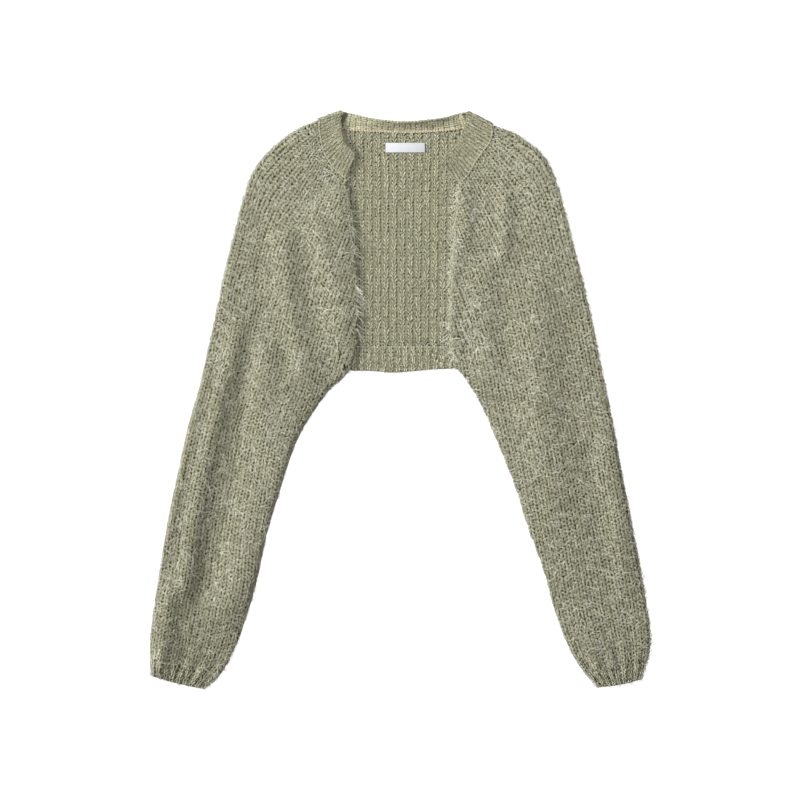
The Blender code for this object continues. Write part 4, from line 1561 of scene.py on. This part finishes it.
    def neck_lining(self, shop: Workshop) -> Piece:
        """Knit the lower layer's inner side where it shows beside the back neck."""
        shares = np.linspace(BACK_CORNER_SHARE - 0.12, 0.9, 24)
        last = len(self.sections)
        plan = np.array([self.plan(self.back, place, shares)
                         for place in np.linspace(last - 0.9, last - 0.06, 24)])
        height = np.full(plan.shape[:2] + (1,), WALL - self.lining_depth)
        points = np.concatenate([plan, height], axis=2).transpose(1, 0, 2)
        patch = Patch(points, shares[:, None] * END_WALES, even_courses(points, COURSE))
        patch.face_up()
        return shop.knit.knit(self.name + "_neck_lining", patch, LINING_STITCH,
                              (WALE, COURSE), shop.finishes.yarn)

    def coat(self, patch: Patch, shop: Workshop) -> list[Piece]:
        """Grow the brushed fuzz and the longer hairs."""
        hairs, pale = shop.hairs, shop.finishes.hair
        coats = [hairs.coat(self.name + part, patch, *amount, cut, finish)
                 for part, amount, cut, finish in (
                     ("_fuzz", self.fuzz, FUZZ, shop.finishes.fuzz),
                     ("_halo", self.halo, HALO, pale),
                     ("_hairs", self.long_hairs, LONG_HAIR, pale))]
        fringe = self.fringe
        line, _ = self.edge_line(60, self.fringe_inset)
        line[:, 2] += self.fringe_lift
        roots = hairs.roots_along(line, fringe.count, self.fringe_spread, fringe.bunches)
        coats.append(hairs.grow(self.name + "_edge_hairs", *roots, fringe.cut, pale))
        line, _ = self.edge_line(60, fringe.halo_inset)
        count, bunches = self.edge_halo
        roots = hairs.roots_along(line, count, fringe.halo_spread, bunches)
        coats.append(hairs.grow(self.name + "_edge_halo", *roots, HALO, pale))
        return coats


@dataclass
class Cuff:
    """A short ribbed tube at the end of a sleeve."""

    name: str
    node: str
    section: Section
    end: CuffEnd
    folds: list[Fold]
    rows: int = 14
    columns: int = 90
    yarn_depth: float = 1.1
    rib: tuple[float, float] = (8.6, RIB_COURSE * 0.85)
    stitch_steps: int = 60
    top_steps: int = 30
    low_steps: int = 16
    ground_courses: float = 5.0
    cut: tuple[float, float] = (0.163, 0.021)
    fuzz: tuple[int, float] = (700, 1.2)        # how many, and their roots' height

    def corners(self, part: float) -> tuple[Array, Array, Array]:
        """Give a section's two corners and the way down the cuff."""
        under, over, end_under, end_over = (np.array(corner) for corner in (
            self.section.under, self.section.over, self.end.under, self.end.over))
        down = (end_under + end_over) / 2 - (under + over) / 2
        down = down / np.linalg.norm(down)
        one = under + (end_under - under) * part + down * SEAM_GAP * (1.0 - part)
        two = over + (end_over - over) * part + down * SEAM_GAP * (1.0 - part)
        return one, two, down

    def layer(self, part: float, depth: float, angles: Array, steps: int, upper: bool
              ) -> tuple[Array, Array]:
        """Work out one layer's points across the cuff, and its ribs' count."""
        one, two, down = self.corners(part)
        width = math.dist(one, two)
        shares, heights = tube_shares(depth, angles, (width, width), (), (steps,))
        bulge = np.sin(math.pi * np.clip(shares, 0, 1))
        plan = one + shares[:, None] * (two - one) + self.end.bow * part * down * bulge[:, None]
        rise = None
        if upper:
            swell = self.section.swell + (self.end.swell - self.section.swell) * part
            rise = soft_floor(swell * bulge ** SWELL_POWER
                              + gather_rise(shares) * ease(1.0 - part)
                              + fold_rise(self.folds, plan) * (1.0 - 0.5 * part))
        z = layer_heights(RIB_WALL + LAYER_GAP / 2, depth, heights, rise)
        line = np.column_stack([plan, z])[::-1]
        run = run_length(line)
        edge = int((angles < 0).sum())
        return line, (run - run[edge]) / (run[-1 - edge] - run[edge]) * CUFF_RIBS

    def build(self, shop: Workshop) -> None:
        """Build and dress the cuff."""
        angles = np.concatenate([[-50.0, -25.0], np.linspace(0, 90, 8)])
        points, wales = even_columns(
            [self.layer(part, self.yarn_depth, angles, self.stitch_steps, True)
             for part in np.linspace(1.0, 0.0, self.rows)], self.columns)
        courses = np.zeros(wales.shape)
        span = np.linalg.norm(np.diff(points, axis=1), axis=2)
        courses[:, 1:] = np.cumsum(span, axis=1) / self.rib[1]
        patch = Patch(points, wales, courses, points[0, 0, 0] < points[-1, 0, 0])
        stitches = shop.knit.knit(self.name + "_stitches", patch, CUFF_STITCH, self.rib,
                                  shop.finishes.yarn)
        angles = np.linspace(0, 90, 5)
        rings, uvs = [], []
        for part in np.linspace(0.0, 1.0, self.rows):
            top, top_ribs = self.layer(part, GROUND_DEPTH, angles, self.top_steps, True)
            low, low_ribs = self.layer(part, 0.0, angles, self.low_steps, False)
            rings.append(tube_ring(top, low))
            ribs = np.concatenate([top_ribs, 2 * CUFF_RIBS - low_ribs[-2::-1]])
            uvs.append(np.column_stack([ribs, np.full(len(ribs),
                                                      part * self.ground_courses)]))
        shell = tube_ground(self.name, rings, uvs, len(top), 0, shop.finishes.ground)
        fuzz = shop.hairs.coat(self.name + "_fuzz", patch, *self.fuzz, RIB_FUZZ,
                               shop.finishes.fuzz)
        sew(shell, self.node, [stitches, fuzz])


@dataclass
class FlatPanel:
    """A flat panel of the back, between a lower and an upper edge."""

    name: str
    node: str
    slot: str
    edges: tuple[Array, Array]
    wall: float
    columns: int
    rows: int
    form: StitchForm
    size: tuple[float, float]
    cut: tuple[float, float]
    fuzz: int
    yarn_depth: float = 1.0
    ground_depth: float = 1.5
    ground_grid: tuple[int, int] = (30, 24)
    fuzz_level: float = 1.1

    def patch(self, depth: float) -> Patch:
        """Lay out the panel's inner side at a depth under its face."""
        lower, upper = self.edges
        parts = np.linspace(0.0, 1.0, self.rows)
        plan = lower[:, None] + (upper - lower)[:, None] * parts[:, None]
        top = np.full(plan.shape[:2] + (1,), self.wall - depth)
        points = np.concatenate([plan, top], axis=2)
        wales = np.linspace(0.0, self.columns, len(lower))[:, None]
        return Patch(points, wales, even_courses(points, self.size[1]))

    def build(self, shop: Workshop) -> None:
        """Build and dress the panel."""
        patch = self.patch(self.yarn_depth)
        stitches = shop.knit.knit(self.name + "_stitches", patch, self.form, self.size,
                                  shop.finishes.yarn)
        base = self.patch(self.ground_depth)
        coarse = np.ix_(*(np.linspace(0, size - 1, count).round().astype(int)
                          for size, count in zip(base.wales.shape, self.ground_grid)))
        counts = np.stack([base.wales[coarse], base.courses[coarse]], axis=2)
        # outer of 0 everywhere: the whole ground takes the painted shade colours
        shell = cloth_sheet(self.name + "_ground", base.points[coarse], counts,
                            np.zeros(counts.shape[:2]), shop.finishes.purl_ground, False,
                            UP, self.wall - self.ground_depth - LOWEST, -1.0)
        coat = shop.hairs.coat(self.name + "_fuzz", patch, self.fuzz, self.fuzz_level,
                               RIB_FUZZ, shop.finishes.fuzz)
        sew(shell, self.node, [stitches, coat])


@dataclass
class Neckband:
    """The ribbed band round the neck, turned over both shoulders."""

    lines: BandLines
    steps: int = 11                 # points from its seam to its rim
    wall: float = 0.8
    half_yarn: float = 0.45         # from its middle to the stitches' feet
    back_middle: float = 6.5        # its back stretch, across the garment
    back_half: float = 84.0
    back_low: float = 330.0
    back_top: float = 3.0
    face_from: float = 3.9          # the standing back shows its face above this
    front_from: float = 5.4
    rim_from: float = 2.0
    rim_width: float = 1.7          # of the chain along its free rim
    rim_inset: float = 0.6
    rim_lean: float = 0.35
    link_course: float = 3.6
    fuzz: tuple[int, float] = (3200, 0.8)       # how many, and their roots' height
    cut: tuple[float, float] = (0.375, 0.024)
    middle: Array = field(init=False)
    seam: Array = field(init=False)
    normal: Array = field(init=False)
    back: Array = field(init=False)

    def __post_init__(self) -> None:
        """Work out the band's middle and its normals from its two lines."""
        rim = self.lines.rim
        self.seam = self.lines.seam.copy()
        self.seam[:, :2] += unit(rim[:, :2] - self.lines.seam[:, :2]) * CURVED_SEAM_GAP
        places = np.linspace(0, len(BAND_RISE_PROFILE) - 1, self.steps)
        profile = spline(np.array(BAND_RISE_PROFILE)[:, None], places)[:, 0]
        middle = []
        for step, rise in zip(np.linspace(0.0, 1.0, self.steps), profile):
            column = self.seam + (rim - self.seam) * step
            column[:, 2] = self.seam[:, 2] + (rim[:, 2] - self.seam[:, 2]) * rise
            middle.append(column)
        self.middle = np.array(middle).transpose(1, 0, 2)
        self.normal = unit(np.cross(np.gradient(self.middle, axis=1),
                                    np.gradient(self.middle, axis=0)))
        x, y, z = self.seam.T
        self.back = ((y > self.back_low) & (np.abs(x - self.back_middle) < self.back_half)
                     & (z < self.back_top))

    def patch(self, side: float) -> Patch:
        """Lay out the band's face (side 1) or lining (side -1)."""
        points = self.middle + self.normal * self.half_yarn * side
        run = run_length(self.middle[:, self.steps // 2])
        pitch = np.where(self.back, BACK_RIB_PITCH, FRONT_RIB_PITCH)
        wales = counted(np.diff(run) / pitch[1:])[:, None]
        patch = Patch(points, wales, even_courses(points, BAND_COURSE))
        patch.normals = self.normal * side
        return patch

    def build(self, shop: Workshop) -> None:
        """Build and dress the band."""
        yarn = shop.finishes.yarn
        face, lining = self.patch(1.0), self.patch(-1.0)
        room = (self.middle[:, :, 2] > self.face_from) | ~self.back[:, None]
        shown = np.broadcast_to(self.back[:, None], room.shape)
        pieces = [
            shop.knit.knit("neckband_face_stitches", face, BAND_STITCH,
                           (FRONT_RIB_PITCH, BAND_COURSE), yarn, room.astype(float)),
            shop.knit.knit("neckband_lining_stitches", lining, LINING_RIB,
                           (BACK_RIB_PITCH, BAND_COURSE), yarn, shown.astype(float)),
            self.rim_chain(shop),
            *self.seam_chains(shop),
            shop.hairs.coat("neckband_fuzz", face, *self.fuzz, RIB_FUZZ,
                            shop.finishes.fuzz)]
        # outer of 0 everywhere: the whole ground takes the painted shade colours
        shell = cloth_sheet("neckband_ground", self.middle,
                            np.stack([face.wales, face.courses], axis=2),
                            np.zeros(room.shape), shop.finishes.rib_ground, False,
                            self.normal[len(self.normal) // 4, self.steps // 2],
                            self.wall, 0.0)
        sew(shell, "neckband", pieces)

    def rim_chain(self, shop: Workshop) -> Piece:
        """Work the bound-off edge along the band's free rim."""
        line = self.middle[:, -1]
        across = unit(np.gradient(self.middle, axis=1)[:, -1])
        side = unit(across * self.rim_lean + self.normal[:, -1])
        keep = line[:, 2] > self.rim_from
        return shop.knit.chain("neckband_rim", line[keep] - across[keep] * self.rim_inset,
                               side[keep], self.rim_width, BAND_COURSE, shop.finishes.yarn)

    def seam_chains(self, shop: Workshop) -> list[Piece]:
        """Work the linking chains along the back neck and both fronts."""
        chains = []
        yarn, link_yarn = shop.finishes.yarn, shop.finishes.link
        front = ~self.back & (self.seam[:, 2] > self.front_from)
        left = self.seam[:, 0] < 0
        inner = self.middle[:, 3] - self.middle[:, 0]
        inner[:, 2] = 0.0
        for name, keep, height, width, finish in (
                ("back_neck_linking", self.back, 3.0, 1.9, link_yarn),
                ("left_front_linking", front & left, 7.3, 1.7, yarn),
                ("right_front_linking", front & ~left, 6.9, 1.7, yarn)):
            inward = unit(inner[keep])
            line = self.seam[keep] - inward * CURVED_SEAM_GAP * 0.5
            line[:, 2] = height
            chains.append(shop.knit.chain(name, line, inward, width, self.link_course,
                                          finish))
        return chains


@dataclass
class NeckLabel:
    """The blank woven label below the back neck."""

    centre: tuple[float, float] = (6.5, 314.0)
    size: tuple[float, float, float] = (49.0, 12.0, 0.6)
    low: float = 3.35
    edge: float = 0.25
    cut: tuple[float, float] = (0.049, 0.012)

    def build(self, finishes: Finishes) -> None:
        """Build and dress the label."""
        bm = bmesh.new()
        bmesh.ops.create_cube(bm, size=1.0)
        x, y = self.centre
        z = self.low + self.size[2] / 2
        bmesh.ops.scale(bm, vec=[side * MM for side in self.size], verts=bm.verts)
        bmesh.ops.translate(bm, vec=(x * MM, y * MM, z * MM), verts=bm.verts)
        bmesh.ops.bevel(bm, geom=bm.edges[:], offset=self.edge * MM, affect="EDGES",
                        segments=2, profile=0.5, material=-1)
        mesh = bpy.data.meshes.new("label_tape")
        bm.to_mesh(mesh)
        bm.free()
        piece = link("label_tape", mesh, finishes.tape)
        dress(piece, "neck_label")
        LOG.info("label is dressed")


# -------------------------------------------------------------------- studio
@dataclass
class Studio:
    """White paper, soft light from the upper left and a camera overhead."""

    view_width: float = 1.0         # metres, as all sizes here
    camera_height: float = 7.0
    camera_shift: float = -0.00125
    sensor: float = 36.0
    paper: str = "#808080"
    paper_half: float = 3.0
    paper_drop: float = 0.0002
    key_strength: float = 4.4
    key_angle: float = 16.0
    key_tilts: tuple[float, float] = (-14.0, -54.0)
    fill_strength: float = 0.26
    top_strength: float = 5.7
    top_size: float = 0.9
    top_place: tuple[float, float, float] = (0.0, 0.42, 0.95)

    def place(self, name: str, data: bpy.types.ID) -> Piece:
        """Put a lamp or the camera into the scene."""
        thing = bpy.data.objects.new(name, data)
        bpy.context.scene.collection.objects.link(thing)
        return thing

    def floor(self) -> None:
        """Lay the paper, which looks white but throws no glow onto the knit's rims."""
        bm = bmesh.new()
        bmesh.ops.create_grid(bm, x_segments=1, y_segments=1, size=self.paper_half)
        bmesh.ops.translate(bm, vec=(0.0, 0.0, -self.paper_drop), verts=bm.verts)
        mesh = bpy.data.meshes.new("paper_floor")
        bm.to_mesh(mesh)
        bm.free()
        material, add = new_material("white_paper")
        white = add("BsdfDiffuse", {"Color": linear(self.paper)})
        glow = add("Emission", {"Strength": 1.0})
        add("OutputMaterial", (add("AddShader", (white, glow)),))
        floor = link("paper_floor", mesh, material)
        floor.visible_diffuse = False

    def lights(self) -> None:
        """Hang the window's light, the softbox and a pale sky."""
        lamp = bpy.data.lights.new("window_light", "SUN")
        lamp.energy = self.key_strength
        lamp.angle = math.radians(self.key_angle)
        key = self.place("window_light", lamp)
        key.rotation_euler = (*(math.radians(tilt) for tilt in self.key_tilts), 0.0)
        panel = bpy.data.lights.new("top_softbox", "AREA")
        panel.size = self.top_size
        panel.energy = self.top_strength
        soft = self.place("top_softbox", panel)
        soft.location = self.top_place
        world = bpy.data.worlds.new("studio")
        world.use_nodes = True
        world.node_tree.nodes.clear()
        sky = add_node(world.node_tree, "Background", {"Color": (1.0, 1.0, 1.0, 1.0),
                                                       "Strength": self.fill_strength})
        add_node(world.node_tree, "OutputWorld", (sky,))
        bpy.context.scene.world = world

    def build(self) -> None:
        """Set up the floor, the lights and the camera."""
        self.floor()
        self.lights()
        data = bpy.data.cameras.new("overhead_camera")
        data.sensor_width = self.sensor
        data.lens = self.sensor * self.camera_height / self.view_width
        data.clip_end = 100.0
        camera = self.place("overhead_camera", data)
        camera.location = (0.0, self.camera_shift, self.camera_height)
        bpy.context.scene.camera = camera
        bpy.context.scene.view_settings.view_transform = "Standard"
        LOG.info("studio is set up")


# ---------------------------------------------------------------------- main
def back_edges(lines: BandLines, count: int = 120) -> tuple[Array, Array]:
    """Give the back panel's lower and upper edge in plan."""
    seam = lines.stretch(BAND_BACK[1], BAND_BACK[-2])
    upper_x = np.linspace(seam[0, 0] + SEAM_GAP, seam[-1, 0] - SEAM_GAP, count)
    upper = np.column_stack([upper_x, np.interp(upper_x, seam[:, 0], seam[:, 1])])
    left = LEFT_BACK_SEAM[0].x + SEAM_GAP
    right = RIGHT_BACK_SEAM[0].x - SEAM_GAP
    lower = np.column_stack([np.linspace(left, right, count),
                             np.full(count, HEM_TOP + SEAM_GAP)])
    return lower, upper


def hem_edges(count: int = 120) -> tuple[Array, Array]:
    """Give the hem's lower and upper edge in plan."""
    points = np.array(HEM_EDGE)
    lower = spline(points, np.linspace(0.0, len(points) - 1, count))
    lower[:, 0] = np.linspace(points[0, 0] + HEM_SIDE_GAP, points[-1, 0] - HEM_SIDE_GAP,
                              count)
    return lower, np.column_stack([lower[:, 0], np.full(count, HEM_TOP)])


def main() -> None:
    """Build the shrug's pieces in order and the studio round them."""
    logging.basicConfig(level=logging.INFO, format="%(message)s")
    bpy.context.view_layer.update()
    shop = Workshop(np.random.default_rng(20))
    lines = BandLines(8)

    FlatPanel("back", "back_panel", "brushed_knit", back_edges(lines), wall=PANEL_WALL,
              columns=BACK_COLUMNS, rows=120, form=BACK_STITCH, size=(10.2, 4.5),
              cut=(0.135, 0.271), fuzz=10000).build(shop)
    FlatPanel("hem", "hem_rib", "rib_knit", hem_edges(), wall=RIB_WALL,
              columns=HEM_RIBS, rows=24, form=HEM_STITCH, size=(9.2, RIB_COURSE),
              cut=(0.129, 0.030), fuzz=1800).build(shop)
    for side, sections, folds, edge, first, back_seam, back_first, turn, fringe, area in (
            ("left", LEFT_SLEEVE, LEFT_FOLDS, LEFT_FRONT_EDGE, BAND_LEFT_FRONT[0],
             LEFT_BACK_SEAM, BAND_BACK[1], lines.left_fold, LEFT_FRINGE, 0.192),
            ("right", RIGHT_SLEEVE, RIGHT_FOLDS, RIGHT_FRONT_EDGE, BAND_RIGHT_FRONT[-1],
             RIGHT_BACK_SEAM, BAND_BACK[-2], lines.right_fold, RIGHT_FRINGE, 0.191)):
        front = OpenEnd(edge, FRONT_CORNER_SHARE, lines.stretch(first, turn))
        back = OpenEnd(back_seam, BACK_CORNER_SHARE, lines.stretch(back_first, turn))
        Sleeve(side + "_sleeve", "sleeve_" + side, sections, folds, front, back, fringe,
               cut=(0.42, 0.70), area=area).build(shop)
    Neckband(lines).build(shop)
    Cuff("left_cuff", "cuff_left", LEFT_SLEEVE[0], LEFT_CUFF_END, LEFT_FOLDS).build(shop)
    Cuff("right_cuff", "cuff_right", RIGHT_SLEEVE[0], RIGHT_CUFF_END, RIGHT_FOLDS
         ).build(shop)
    NeckLabel().build(shop.finishes)
    Studio().build()


if __name__ == "__main__":
    main()
